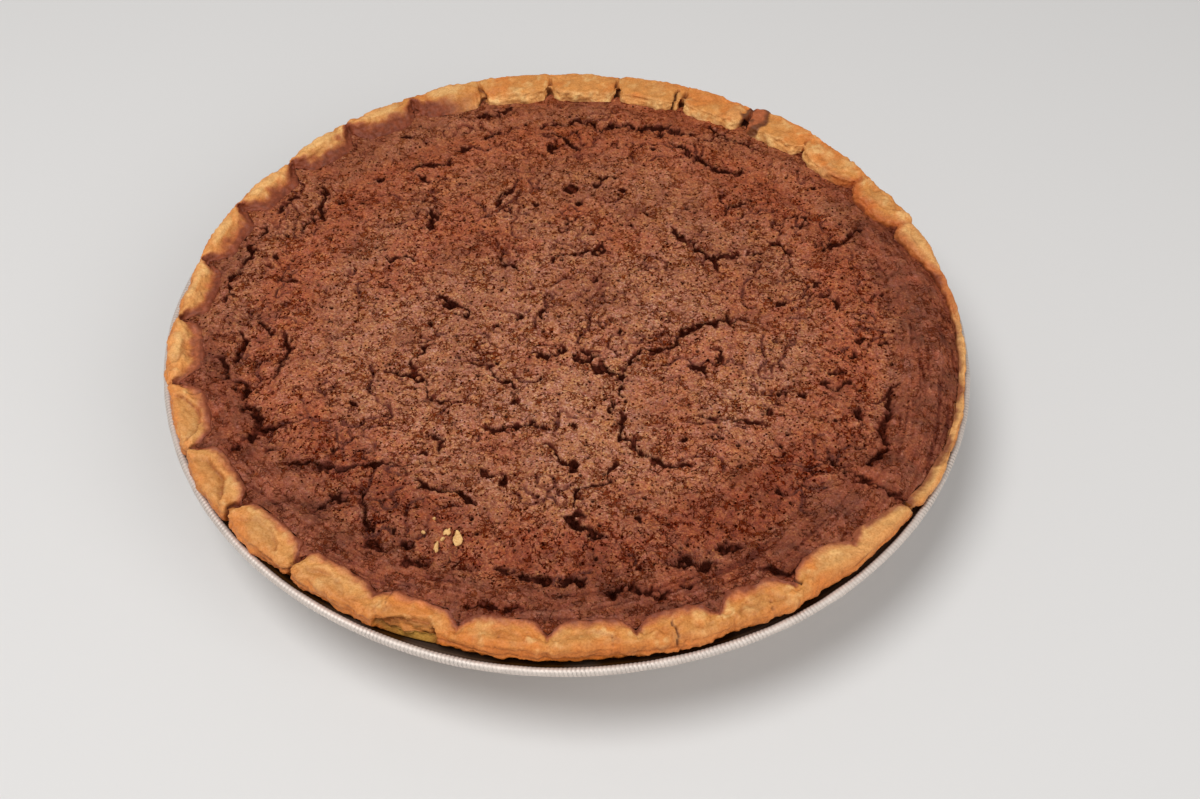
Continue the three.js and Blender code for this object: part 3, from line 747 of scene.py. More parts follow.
def fill_tones(at):
    """Tone of the filling's top at many places, with painted highlights and painted shade among its
    crumbs, cracks and pits.
    """
    x, y, radius, angle, band, relief, cracks = (
        at.x, at.y, at.radius, at.angle, at.band, at.relief, at.cracks)
    rose_sheen = bell(np.hypot((x - SHEEN_CENTRE[0]) / SHEEN_WIDTH, (y - SHEEN_CENTRE[1]) / SHEEN_DEPTH))
    rose_sheen = np.clip(rose_sheen + rough(51, [(11, 0.28), (4, 0.12)], x, y), 0, 1)
    patch = 0.6 * rising(noise(53, 15, x, y) + 0.4 * noise(54, 5, x, y), -0.15, 0.8)
    ring = rising(radius, *ORANGE_RING) * falling(radius, *ORANGE_END)
    patch = np.maximum(patch, ring * (0.7 + 0.4 * between(angle, 220, 320, 25)))
    # Painted sheen: the middle of the filling is painted rose and pale where the overhead light gleams on
    # it.
    tones = painted(plain_tones(CUSTARD_MID, len(x)), [
        (CUSTARD_ROSE_SHEEN, rose_sheen),
        (CUSTARD_ORANGE, 0.95 * patch * (1 - 0.4 * relief)),
        # Painted highlight: the raised tops of the crumbs are painted paler, more so in the sheen.
        (CUSTARD_PALE, 0.42 * relief * (0.3 + 0.7 * rose_sheen)),
        (CUSTARD_BAND, 0.85 * band),
        # Painted sheen and shade on the dark band: paler and greyer on its raised folds, darker in the low
        # ones.
        (CUSTARD_BAND_SHEEN, 0.35 * band * rising(at.skin, 0.1, 0.9), 0.5),
        (CUSTARD_DEEP, 0.5 * band * rising(-at.skin, 0.1, 0.9) + 0.85 * at.streak),
    ])
    tones[:, 3] *= (1 - 0.4 * band) * (1 - 0.3 * rising(y, 10, 95))
    # Painted highlight: the lips along the cracks are painted paler.
    lip = at.near_crack * falling(cracks, 0.0, 0.1) * (1 - band)
    # Painted shade in the low places between the crumbs, and the real red rims of the torn cracks, both in
    # the fissures' colour.
    low_shade_and_red_rims = (0.07 + 0.3 * at.torn) * (1 - relief) ** 2 + 0.5 * at.torn * at.near_crack
    # Painted shade: the deep parts of cracks and pits are painted nearly black, all but some of the
    # deepest floors.
    shadowed = 1 - 0.7 * rising(noise(62, 1.1, x, y), -0.1, 0.3) * rising(cracks, 1.0, 1.5)
    crack_and_pit_shade = np.maximum(rising(cracks, 0.25, 0.65) * shadowed, rising(at.pits, 0.1, 0.4))
    tones = painted(tones, [
        (CUSTARD_PALE, 0.4 * lip * rising(noise(57, 2.2, x, y), -0.1, 0.5)),
        (CUSTARD_FISSURE, low_shade_and_red_rims + 1.2 * at.web + 0.55 * at.net),
        # The fissure lines are painted deep brown; in the torn trough the joints between morsels get
        # painted shade, deep brown and nearly black.
        (CUSTARD_DEEP, rising(at.web, 0.35, 0.8) + at.broken * (0.8 - 0.55 * at.morsel)),
        (CUSTARD_SHADE, 0.9 * at.broken * falling(at.morsel, 0.1, 0.55)),
        (CUSTARD_DEEP, rising(cracks, 0.05, 0.2), 0.5),
        (CUSTARD_SHADE, crack_and_pit_shade, 0.1),
    ])
    shade = 1 + rough(55, [(2.6, 0.07), (0.9, 0.12)], x, y)
    # Painted shade: the orange ring is darkened on the side of the trough.
    shade = shade - 0.2 * ring * between(angle, *TROUGH_SIDE)
    shade = shade + band * (0.24 * noise(60, 6, x, y) + 0.22 * noise(61, 2, x, y) - 0.05)
    return shaded(tones, shade)


def make_filling():
    rings = [np.zeros(1)]
    turns = [np.zeros(1)]
    for ring in range(1, FILL_RINGS + 1):
        count = FILL_SECTORS * ring
        rings.append(np.full(count, ring / FILL_RINGS))
        turns.append(np.arange(count) * 360 / count)
    share = np.concatenate(rings)
    angle = np.concatenate(turns)
    across = crimp_place(angle)
    edge_radius, edge_height = shown_edge(angle, across)
    edge_radius = edge_radius + 0.25 + 0.35 * noise(40, 2.5, edge_radius * np.radians(angle))
    radius = share * edge_radius
    top, tones = fill_surface(radius, angle, edge_radius, edge_height)
    points = polar(radius, angle, BEAD_HEIGHT + top)
    faces = [np.array([[0, 1 + step, 1 + (step + 1) % FILL_SECTORS] for step in range(FILL_SECTORS)])]
    outer_start = 1
    for ring in range(2, FILL_RINGS + 1):
        inner_start = outer_start
        outer_start = inner_start + FILL_SECTORS * (ring - 1)
        faces.extend(shrinking_ring(outer_start, inner_start, ring))
    count = FILL_SECTORS * FILL_RINGS
    rim = slice(len(points) - count, len(points))
    rim_start = len(points) - count
    shoulder = polar(np.full(count, shell_inside(SHOULDER_HEIGHT) - WALL_GAP), angle[rim],
                     SHOULDER_HEIGHT + GAP)
    floor_height = SHELL_FLOOR + GAP
    floor = polar(np.full(count, shell_inside(floor_height) - WALL_GAP), angle[rim], floor_height)
    points = np.concatenate([points, shoulder, floor, [[0, 0, floor_height]]])
    faces.append(ring_faces(rim_start + count, rim_start, count))
    faces.append(ring_faces(rim_start + 2 * count, rim_start + count, count))
    faces.append(cap_faces(rim_start + 2 * count, count, len(points) - 1, False))
    tones = np.concatenate([tones, plain_tones(CUSTARD_MID, 2 * count + 1)])
    piece = make_piece("baked_filling", points, faces, custard_material(), tones)
    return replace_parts(piece, "filling")


def shrinking_ring(outer_start, inner_start, ring):
    """Triangles from a ring of 6 n points to the next ring in, of 6 (n - 1)."""
    sector = np.repeat(np.arange(FILL_SECTORS), ring)
    index = np.tile(np.arange(ring), FILL_SECTORS)
    outer_count = FILL_SECTORS * ring
    inner_count = FILL_SECTORS * (ring - 1)
    outside = sector * ring + index
    outside_next = (outside + 1) % outer_count
    inside = (sector * (ring - 1) + index) % inner_count
    first = np.stack([outer_start + outside, outer_start + outside_next, inner_start + inside], -1)
    keep = index < ring - 1
    inside_next = (inside + 1) % inner_count
    second = np.stack([outer_start + outside_next, inner_start + inside_next, inner_start + inside], -1)
    return [first, second[keep]]


# ---------------------------------------------------------------- crust

# Points round each crimp, and rows of points from each of the section's points to the next.
CRIMP_STEPS = 60
SAMPLES = {0: 2, 1: 4, 2: 10, 3: 9, 4: 8, 5: 8, 6: 8, 7: 8, 8: 9, 9: 6, 10: 2}

# Between these two of the section's points the shell shows, and is curved and finely modelled.
VISIBLE_FROM = 2
VISIBLE_TO = 9

# Lengths along the rim are measured at the first radius, and nothing reaches past the second.
RIM_RADIUS = 104
RIM_LIMIT = 109.5

# The share of a peak that is pressed down where it stands above a height.
CEILING_PRESS = 0.65
RIM_CEILING = 37.0

# Spans of the rim: first and last angle, and the degrees over which they ease out.
SUNKEN_RIM = (329, 380, 5)
SLIPPED_CRIMP = (309, 322, 3)
NEAR_RIM = (186, 330, 10)
LEFT_RIM = (130, 238, 12)
FAR_LEFT_RIM = (130, 200, 12)
GLOWING_RIM = (6, 36, 8)
HOLLOW_SPAN = (245.0, 254.8, 0.8)

PASTRY_GOLD = srgb(218, 145, 74)
PASTRY_PALE = srgb(238, 186, 118)
PASTRY_ORANGE = srgb(212, 118, 48)
PASTRY_BROWN = srgb(156, 80, 36)
PASTRY_CREASE = srgb(150, 80, 32)
PASTRY_STAIN = srgb(130, 62, 38)
PASTRY_SHADOW = srgb(74, 32, 13)
PASTRY_DIMPLE = srgb(186, 128, 70)
PASTRY_GLOW = srgb(188, 92, 40)
PASTRY_INSIDE = srgb(194, 142, 62)
PASTRY_SEAM = srgb(98, 66, 18)
PASTRY_BAKED = srgb(172, 90, 48)
PASTRY_UNDER = srgb(220, 120, 40)
PASTRY_BLUSH = srgb(192, 108, 68)
PASTRY_LAYER = srgb(196, 124, 58)
SPILL_EDGE = srgb(88, 36, 20)
SPILL_MIDDLE = srgb(188, 102, 60)
SPILL_PLACE = (56.6, 88.0)
SPILL_ANGLE = 57.0


def crust_controls(angle, across):
    """Twelve points of the shell's section at each angle, as radius and height arrays."""
    spill = overflow(angle)
    merged = merged_part(angle)
    far = boxy_part(angle)
    gentle = between(angle, 110, 190, 14)
    to_cleft = (1 - np.abs(across)) * CRIMP_HALF_LENGTH
    open_cleft = bell(to_cleft / 1.1) * (1 - 0.95 * merged) * (1 - 0.8 * spill)
    open_cleft = open_cleft * (1 - 0.85 * far) * (1 - 0.85 * gentle) * (1 - 0.9 * whole_part(angle))
    roundness = (1 - across**4) * (1 - 0.6 * far) * (1 - 0.8 * merged) * (1 - 0.7 * spill)
    edge_radius, edge_height = shown_edge(angle, across)
    arc = np.radians(angle) * CRUST_OUTER
    wobble = rough(3, [(16, 0.45), (5, 0.2)], arc)
    broken = between(angle, 247.5, 255.5, 1.5)
    outer = CRUST_OUTER + 0.45 * roundness - 0.5 * open_cleft + 0.5 * wobble + overhang(angle)
    width = outer - edge_radius
    crest = crest_height(angle) + 0.45 * roundness + wobble - 0.5 * open_cleft - 0.3 + 0.2 * far
    zero = 0 * angle
    radii = [
        tin_inside(SHELL_UNDERSIDE) - WALL_GAP + zero,
        tin_inside(SEAT_HEIGHT) - WALL_GAP + zero,
        outer - 1.7 - np.maximum(overhang(angle), 0),
        outer - 0.3 - 0.5 * broken,
        outer - (0.08 - 0.05 * far) * width - 0.7 * broken,
        outer - (0.26 - 0.1 * far) * width - 0.3 * broken,
        outer - (0.52 - 0.05 * gentle) * width,
        outer - (0.82 + 0.06 * far - 0.16 * gentle) * width,
        outer - (0.95 - 0.06 * gentle) * width,
        edge_radius,
        shell_inside(SHOULDER_HEIGHT) + zero,
        shell_inside(SHELL_FLOOR) + zero,
    ]
    heights = [
        SHELL_UNDERSIDE + zero,
        SEAT_HEIGHT + zero,
        SEAT_HEIGHT + 0.4 + zero,
        BEAD_HEIGHT + BULGE_HEIGHT - 0.6 - 0.3 * broken,
        BEAD_HEIGHT + np.maximum(crest - 1.2 + 0.7 * far, BULGE_HEIGHT + 0.3) - 1.1 * broken,
        BEAD_HEIGHT + crest - 0.7 * broken,
        BEAD_HEIGHT + crest - 0.15 - 0.2 * gentle,
        BEAD_HEIGHT + crest - 0.4 - 1.4 * gentle,
        BEAD_HEIGHT + lerp(edge_height, crest, 0.55 - 0.37 * gentle),
        BEAD_HEIGHT + edge_height,
        SHOULDER_HEIGHT + zero,
        SHELL_FLOOR + zero,
    ]
    return np.stack(radii), np.stack(heights)


def along_controls(values, index, part):
    """A smooth curve through the section's points, straight where the shell is hidden."""
    here, there = values[index], values[index + 1]
    if not VISIBLE_FROM <= index < VISIBLE_TO:
        return lerp(here, there, part)
    before = values[max(index - 1, VISIBLE_FROM)]
    after = values[min(index + 2, VISIBLE_TO)]
    square, cube = part**2, part**3
    return 0.5 * (2 * here + (there - before) * part
                  + (2 * before - 5 * here + 4 * there - after) * square
                  + (3 * here - before - 3 * there + after) * cube)


def crust_grid():
    """Angle, place across the crimp, section place, radius and height over the whole grid."""
    part = np.arange(CRIMP_STEPS) / CRIMP_STEPS
    part = part - 0.085 * np.sin(2 * np.pi * part)
    index = np.arange(CRIMPS)
    starts, ends = cleft_angle(index), cleft_angle(index + 1)
    angle = (starts[:, None] + (ends - starts)[:, None] * part).ravel()
    across = np.tile(2 * part - 1, CRIMPS)
    radii, heights = crust_controls(angle, across)
    rows = [(index + step / count) for index, count in SAMPLES.items() for step in range(count)]
    rows.append(len(radii) - 1.0)
    places = np.array(rows)
    grid_radius = []
    grid_height = []
    for place in rows:
        index = min(int(place), len(radii) - 2)
        grid_radius.append(along_controls(radii, index, place - index))
        grid_height.append(along_controls(heights, index, place - index))
    return angle, across, places, np.array(grid_radius), np.array(grid_height)


def grid_normals(points):
    """Outward unit normals of a grid whose columns run round the axis."""
    around = np.roll(points, -1, 1) - np.roll(points, 1, 1)
    along = np.gradient(points, axis=0)
    normals = np.cross(around, along)
    return normals / np.maximum(np.linalg.norm(normals, axis=2, keepdims=True), 1e-9)


# Creases and breaks in the rim: angle, first and last depth across it (0 outside, 1 inside),
# half width, depth.
RIM_CRACKS = [
    (277.0, 0.02, 0.55, 0.16, 0.35), (285.2, 0.0, 0.72, 0.3, 0.9), (298.2, 0.0, 0.45, 0.2, 0.6),
    (324.3, -0.3, 1.3, 0.75, 3.2), (262.6, 0.05, 0.4, 0.18, 0.5), (72.0, 0.3, 1.1, 0.45, 1.6),
    (303.2, 0.5, 1.0, 0.4, 0.9), (247.4, 0.3, 1.0, 0.2, 0.4), (197.5, 0.5, 1.0, 0.25, 0.6),
]


def crust_places():
    """Every point of the smooth shell, its normal, and where it lies on the rim."""
    angle, across, places, radius, height = crust_grid()
    angle_grid = np.broadcast_to(angle, radius.shape)
    points = polar(radius, angle_grid, height)
    normals = grid_normals(points)
    outer = radius[places == 4][0] + 0.5
    inner = radius[places == 9][0]
    foot = np.hypot(radius - inner, height - height[places == 9][0])
    depth = (outer - radius) / np.maximum(outer - inner, 0.5)
    at = SimpleNamespace(angle=angle_grid, across=np.broadcast_to(across, radius.shape), foot=foot,
                         place=np.broadcast_to(places[:, None], radius.shape), depth=depth,
                         radius=radius, height=height, x=points[..., 0], y=points[..., 1],
                         z=points[..., 2])
    vars(at).update({name: values.ravel() for name, values in vars(at).items()})
    at.arc = np.radians(at.angle) * RIM_RADIUS
    at.crimp = np.mod(np.floor(cleft_place(at.angle) + 1e-6), CRIMPS)
    at.spill = overflow(at.angle)
    at.far = boxy_part(at.angle)
    at.merged = merged_part(at.angle)
    at.browned = browned_part(at.angle)
    return at, points.reshape(-1, 3), normals.reshape(-1, 3), radius.shape


def clefts(at):
    """The distance to the joint between two crimps, the joint itself, and its soft shoulders."""
    wander = 0.45 * noise(41, 2.5, at.arc, at.place * 2) + 0.5 * noise(42, 6, at.arc, at.place * 3)
    to_cleft = (1 - np.abs(at.across)) * CRIMP_HALF_LENGTH + wander * np.sign(at.across)
    uneven = lattice([np.mod(at.crimp + (at.across > 0), CRIMPS)], 9)
    outer_half = falling(at.depth, 0.3, 0.65)
    strength = (0.8 + 0.3 * uneven) * (1 - 0.85 * at.spill) * (1 - 0.9 * whole_part(at.angle))
    strength = strength * (1 - at.merged * lerp(0.8, 1, outer_half))
    strength = strength * (1 - at.far * 0.85 * outer_half)
    strength = strength * (1 - at.browned * lerp(0.5, 0.95, outer_half))
    cleft = bell(to_cleft / (0.33 + 0.08 * uneven)) * strength
    return to_cleft, cleft, bell(to_cleft / 1.3) * strength


def thumbprints(at):
    """The dimple that a thumb pressed into each crimp, and the crease round it."""
    tuft, second_tuft = lattice([at.crimp], 7), lattice([at.crimp], 8)
    strength = 0.2 + 0.8 * pillowed_part(at.angle) + 0.25 * at.merged
    strength = (strength + 0.15 * at.browned) * (1 + 0.3 * tuft)
    strength = strength * (1 - at.spill) * (1 - 0.5 * at.far)
    bowl = np.hypot((at.across - 0.12 * second_tuft) / (0.66 + 0.06 * tuft),
                    np.clip(at.depth - 0.02, 0, 2) / (0.64 + 0.08 * second_tuft))
    bowl = bowl + rough(43, [(2.6, 0.1), (1.0, 0.05)], at.arc, at.radius)
    thumb = falling(bowl, 0.88, 1.03) * rising(at.depth, 0.02, 0.3)
    thumb = thumb * (0.25 + 0.75 * np.clip(bowl, 0, 1) ** 2)
    crease = bell((bowl - 0.95) / 0.05) * rising(at.depth, 0.1, 0.3)
    crease = crease * rising(noise(45, 5, at.arc, at.radius), -0.9, 0.3)
    return thumb * strength, crease * strength


def pastry_relief(at):
    """The baked surface's unevenness in millimetres, and the fine wrinkles in it."""
    place = (at.x, at.y, at.z)
    fold = rough(130, [(5.5, 1), (2.3, 0.4)], *place)
    wrinkle = falling(np.abs(fold), 0.015, 0.11)
    wrinkle = wrinkle * rising(noise(132, 6, *place), -0.1, 0.4) * (1 - 0.75 * at.far)
    relief = rough(46, [(4.5, 0.34), (2.1, 0.36)], *place)
    relief = relief + rough(48, [(1.0, 0.26), (0.55, 0.14)], *place)
    relief = relief + 0.35 * np.minimum(1.5 * np.abs(fold), 1) - 0.18
    relief = relief * (1 - 0.5 * np.maximum(at.spill, between(at.angle, 308, 322, 3)))
    inner = at.browned * rising(at.depth, 0.5, 0.8)
    return relief + 0.3 * inner * noise(138, 1.3, *place), wrinkle


def rim_breaks(at):
    """How deep the rim's own cracks cut, in millimetres, and how dark they are."""
    cuts = np.zeros(len(at.angle))
    breaks = np.zeros(len(at.angle))
    wander = rough(105, [(1.6, 0.35), (4, 0.5)], at.radius, at.height)
    for crack_angle, first, last, half, cut in RIM_CRACKS:
        offset = np.radians(np.mod(at.angle - crack_angle + 180, 360) - 180) * RIM_RADIUS + wander
        reach = rising(at.depth, first - 0.05, first + 0.05) * falling(at.depth, last - 0.1, last)
        gash = reach * falling(np.abs(offset) / half, 0.4, 1.3)
        breaks = np.maximum(breaks, gash * min(1, cut))
        cuts = cuts + cut * gash
    return cuts, breaks


def hollow_parts(at):
    """The hollow where a layer lifted off: its floor, the shade in it, and its raised lip."""
    rise = rising(at.angle, 244.5, 251.5) * falling(at.angle, 253.4, 255.6)
    edge = 0.36 * rise + rough(107, [(2.6, 0.07), (1.0, 0.06)], at.arc)
    hollow = between(at.angle, *HOLLOW_SPAN)
    floor = hollow * falling(at.depth, edge - 0.05, edge)
    shade = floor * rising(at.depth, edge - 0.3, edge - 0.1)
    return floor, shade, hollow * bell((at.depth - edge - 0.05) / 0.05)


def make_crust():
    """The pastry shell, with the relief and tones of its crimped rim."""
    at, points, normals, shape = crust_places()
    outer_face = falling(at.place, 3.6, 4.8)
    inner_face = rising(at.place, 7.0, 8.2)
    at.to_cleft, at.cleft, at.shoulder = clefts(at)
    at.thumb, at.crease = thumbprints(at)
    at.relief, at.wrinkle = pastry_relief(at)
    at.layers = layer_lines(at.arc, at.height - BEAD_HEIGHT) * outer_face
    cuts, at.breaks = rim_breaks(at)
    at.hollow, at.hollow_shade, lip = hollow_parts(at)
    ledges = 0.3 * noise(100, 1.0, at.arc / 16, at.height * 1.1)
    ledges = ledges + 0.16 * noise(101, 1.0, at.arc / 5, at.height * 2.2)
    stretch = 0.22 * noise(102, 1.0, at.arc / 1.5, at.height / 7)
    stretch = stretch + 0.1 * noise(103, 1.0, at.arc / 0.6, at.height / 5)
    ragged = rising(noise(104, 3.0, at.arc, at.height), 0.15, 0.7) * falling(at.place, 2.6, 3.4)
    shift = at.relief + outer_face * (ledges - 0.4 * ragged) + inner_face * at.far * stretch
    shift = shift - (1.3 + 0.9 * at.far) * at.cleft - 0.45 * at.shoulder - 0.15 * at.wrinkle
    shift = shift - 0.3 * at.layers - at.thumb - 0.25 * at.crease - cuts
    shift = shift - (1.5 + 0.6 * noise(109, 1.2, at.arc, at.height)) * at.hollow + 0.25 * lip
    drop = spill_field(at.x, at.y)
    shift = shift + 0.35 * falling(drop, 0.7, 1.1) * rising(at.place, 3, 4)
    shown = rising(at.place, 2.0, 2.6) * falling(at.place, 9.0, 9.6)
    points = points + normals * (shift * shown)[:, None]
    reach = np.hypot(points[:, 0], points[:, 1])
    points[:, :2] *= (np.minimum(reach, RIM_LIMIT) / reach)[:, None]
    points[:, 2] -= CEILING_PRESS * np.maximum(points[:, 2] - RIM_CEILING, 0)
    tones = np.concatenate([crust_tones(points, at), plain_tones(PASTRY_GOLD, 2)])
    points, faces = close_shell(points, *shape)
    piece = make_piece("baked_crust", points, faces, pastry_material("baked_pastry"), tones)
    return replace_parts(piece, "crust")


def layer_lines(arc, rise):
    """Open edges of the dough's layers along the outer face: 1 in a line, 0 away from it."""
    lines = np.zeros(arc.shape)
    for seed, level in ((140, 2.3), (143, 3.5)):
        wave = level + 0.7 * noise(seed, 22, arc) + 0.2 * noise(seed + 1, 4, arc)
        present = rising(noise(seed + 2, 11, arc), -0.5, 0.2)
        lines = np.maximum(lines, present * bell((rise - wave) / 0.2))
    return lines


def spill_field(x, y):
    """The patch where filling ran over the rim: under 1 inside it, over 1 outside."""
    turn = math.radians(SPILL_ANGLE)
    outward = (x - SPILL_PLACE[0]) * math.cos(turn) + (y - SPILL_PLACE[1]) * math.sin(turn)
    aside = (y - SPILL_PLACE[1]) * math.cos(turn) - (x - SPILL_PLACE[0]) * math.sin(turn)
    ragged = 0.2 * noise(116, 3, x, y) + 0.1 * noise(128, 1.2, x, y)
    return np.hypot(aside / 4.4, outward / 8.0) + ragged


def crust_tones(points, at):
    """Tone of the crust at each point of its grid, with painted highlights on its raised places and
    painted light on some of its faces.
    """
    x, y, z = points.T
    angle, across, depth, place, arc = at.angle, at.across, at.depth, at.place, at.arc
    spill, far, browned = at.spill, at.far, at.browned
    blotch = rough(110, [(6, 1), (2.4, 0.5)], x, y, z)
    flour = rough(117, [(3.0, 1), (1.2, 0.55)], x, y, z)
    speck = noise(112, 1.1, x, y, z)
    # The raised places, where painted highlights go.
    high = rising(at.relief + 0.1 * speck, -0.1, 0.35)
    outer_face = falling(place, 3.2, 4.6)
    inner_face = rising(place, 6.8, 8.0)
    sunken = between(angle, *SUNKEN_RIM)
    near = between(angle, *NEAR_RIM)
    # Real floury patches, painted paler still on the raised places as a painted highlight.
    flour_and_highlight = rising(flour, 0.15, 0.5) * (0.3 + 0.7 * high) * (1 - 0.5 * outer_face)
    lozenge = np.hypot(across / 0.62, (depth - 0.24) / 0.22) + 0.2 * noise(129, 2.5, x, y)
    # Less orange on the sunken rim's outer face, as painted light.
    red_face = outer_face * (1 - 0.7 * sunken)
    low_face = falling(place + 0.25 * noise(133, 9, arc), 2.9, 3.25)
    edge = rising(place, 3.0, 4.2) * falling(place, 4.4, 5.6)
    gold_edge = 0.5 - 0.34 * np.abs(across) ** 3 + 0.1 * between(angle, 168, 200, 6)
    side = depth - gold_edge + 0.13 * noise(119, 2.2, x, y) + 0.06 * speck
    to_fill = at.foot + 0.8 * noise(115, 2.6, arc, z) + 0.35 * speck
    in_notch = bell(at.to_cleft / 3.5)
    glow = falling(to_fill, 2.0, 5.0) * between(angle, *GLOWING_RIM)
    spread = 1.0 + 1.2 * spill + 0.6 * near + 1.4 * between(angle, 174, 204, 8)
    stain = falling(to_fill - 0.6 * in_notch * (1 - far), 0.1, spread)
    fringe = depth + rough(126, [(1.9, 0.06), (0.8, 0.035)], x, y) + 0.06 * in_notch
    drop = spill_field(x, y)
    middle = falling(drop, 0.45, 0.85) * rising(noise(134, 2.4, x, y, z), -0.5, 0.1)
    rise = place + 0.3 * noise(135, 4, arc)
    seam = bell((rise - 3.3) / 0.14) + 0.4 * rising(noise(136, 1.0, arc / 4, 2 * z), 0, 0.5)
    tones = painted(plain_tones(PASTRY_GOLD, len(x)), [
        (PASTRY_ORANGE, 0.6 * rising(blotch, -0.3, 0.7)),
        (PASTRY_PALE, 0.7 * flour_and_highlight),
        # Painted light: the inner faces of the far crimps are painted pale, as if lit.
        (PASTRY_PALE, 0.9 * inner_face * far * (0.4 + 0.6 * high)),
        # Painted highlights on the raised places of the right side and, with a paler tone, of the left
        # side.
        (PASTRY_PALE, 0.3 * between(angle, 8, 60, 10) * high),
        (PASTRY_PALE, 0.45 * between(angle, *SLIPPED_CRIMP) * (1 - outer_face)),
        (PASTRY_PALE, 0.45 * between(angle, *LEFT_RIM) * (0.4 + 0.6 * high)),
        # Painted light: the sunken rim on the right is painted pale, to make up for the shade on it.
        (PASTRY_PALE, 0.6 * sunken),
        (PASTRY_PALE, 0.7 * browned * falling(lozenge, 0.7, 1.0)),
        (PASTRY_ORANGE, 0.75 * red_face),
        (PASTRY_UNDER, 0.75 * low_face * (1 - 0.7 * sunken)),
        (PASTRY_ORANGE, 0.6 * edge * (0.5 + 0.5 * noise(113, 5, arc))),
        (PASTRY_BROWN, 0.3 * red_face * rising(noise(114, 1.0, arc / 12, z), 0, 0.7)),
        (PASTRY_BROWN, 0.6 * falling(place, 2.2, 2.9)),
        (PASTRY_DIMPLE, 0.75 * at.thumb),
        (PASTRY_CREASE, 0.7 * at.crease + 0.35 * at.shoulder ** 2),
        (PASTRY_CREASE, 0.8 * at.layers + 0.3 * at.wrinkle),
        (PASTRY_BAKED, 0.85 * browned * rising(side, -0.05, 0.13)),
        (PASTRY_STAIN, 0.92 * browned * rising(side, 0.06, 0.27)),
        (PASTRY_GLOW, 0.8 * glow),
        (PASTRY_STAIN, 0.9 * stain * (1 - 0.6 * far)),
        (PASTRY_BLUSH, 0.7 * near * (1 - spill) * rising(fringe, 0.64, 0.84)),
        (PASTRY_STAIN, 0.9 * near * (1 - spill) * rising(fringe, 0.8, 0.95)),
        (SPILL_EDGE, 0.9 * falling(drop, 0.86, 1.08)),
        (SPILL_MIDDLE, 0.9 * middle),
        (PASTRY_STAIN, 0.9 * at.cleft),
        (PASTRY_SHADOW, 0.85 * at.cleft ** 2 * np.maximum(far, 0.35) + at.breaks),
        (PASTRY_LAYER, 0.9 * at.hollow),
        (PASTRY_INSIDE, at.hollow * falling(rise, 3.0, 3.3)),
        (PASTRY_SEAM, 0.85 * seam * at.hollow),
        (PASTRY_CREASE, 0.5 * at.hollow_shade),
    ])
    # The far side's inner faces are also lightened here, as painted light.
    shade = 1 + 0.05 * blotch + 0.07 * speck + 0.15 * inner_face * far
    dappled = (0.14 + 0.16 * browned) * rising(depth, 0.45, 0.8)
    shade = shade + dappled * noise(137, 0.9, x, y, z)
    shade = shade + 0.1 * between(angle, *FAR_LEFT_RIM) * falling(depth, 0.4, 0.7)
    return shaded(tones, shade)


def close_shell(points, rows, columns):
    """Adds the two points on the axis, and gives all the faces."""
    flat = np.concatenate([points, [[0, 0, SHELL_UNDERSIDE], [0, 0, SHELL_FLOOR]]])
    faces = [ring_faces((row - 1) * columns, row * columns, columns) for row in range(1, rows)]
    faces.append(cap_faces(0, columns, len(flat) - 2, False))
    faces.append(cap_faces((rows - 1) * columns, columns, len(flat) - 1, True))
    return flat, faces


# ---------------------------------------------------------------- tin

TIN_STEPS = 3400
BEAD_RIDGES = 680
BEAD_ROWS = 15
WALL_ROWS = 8
FLAT_RADIUS = TIN_BASE_RADIUS - 30
FOOT_RADIUS = TIN_BASE_RADIUS + 0.5
FOOT_HEIGHT = 1.1
RIDGE_MIDDLE = 0.93 * BEAD_SECTION
BEAD_BARENESS = 0.5
FOIL_COLOUR = srgb(230, 217, 207)
FOIL_GROOVE_SHADE = srgb(112, 104, 98)
FOIL_GREASE_AND_SHADE = srgb(60, 35, 13)


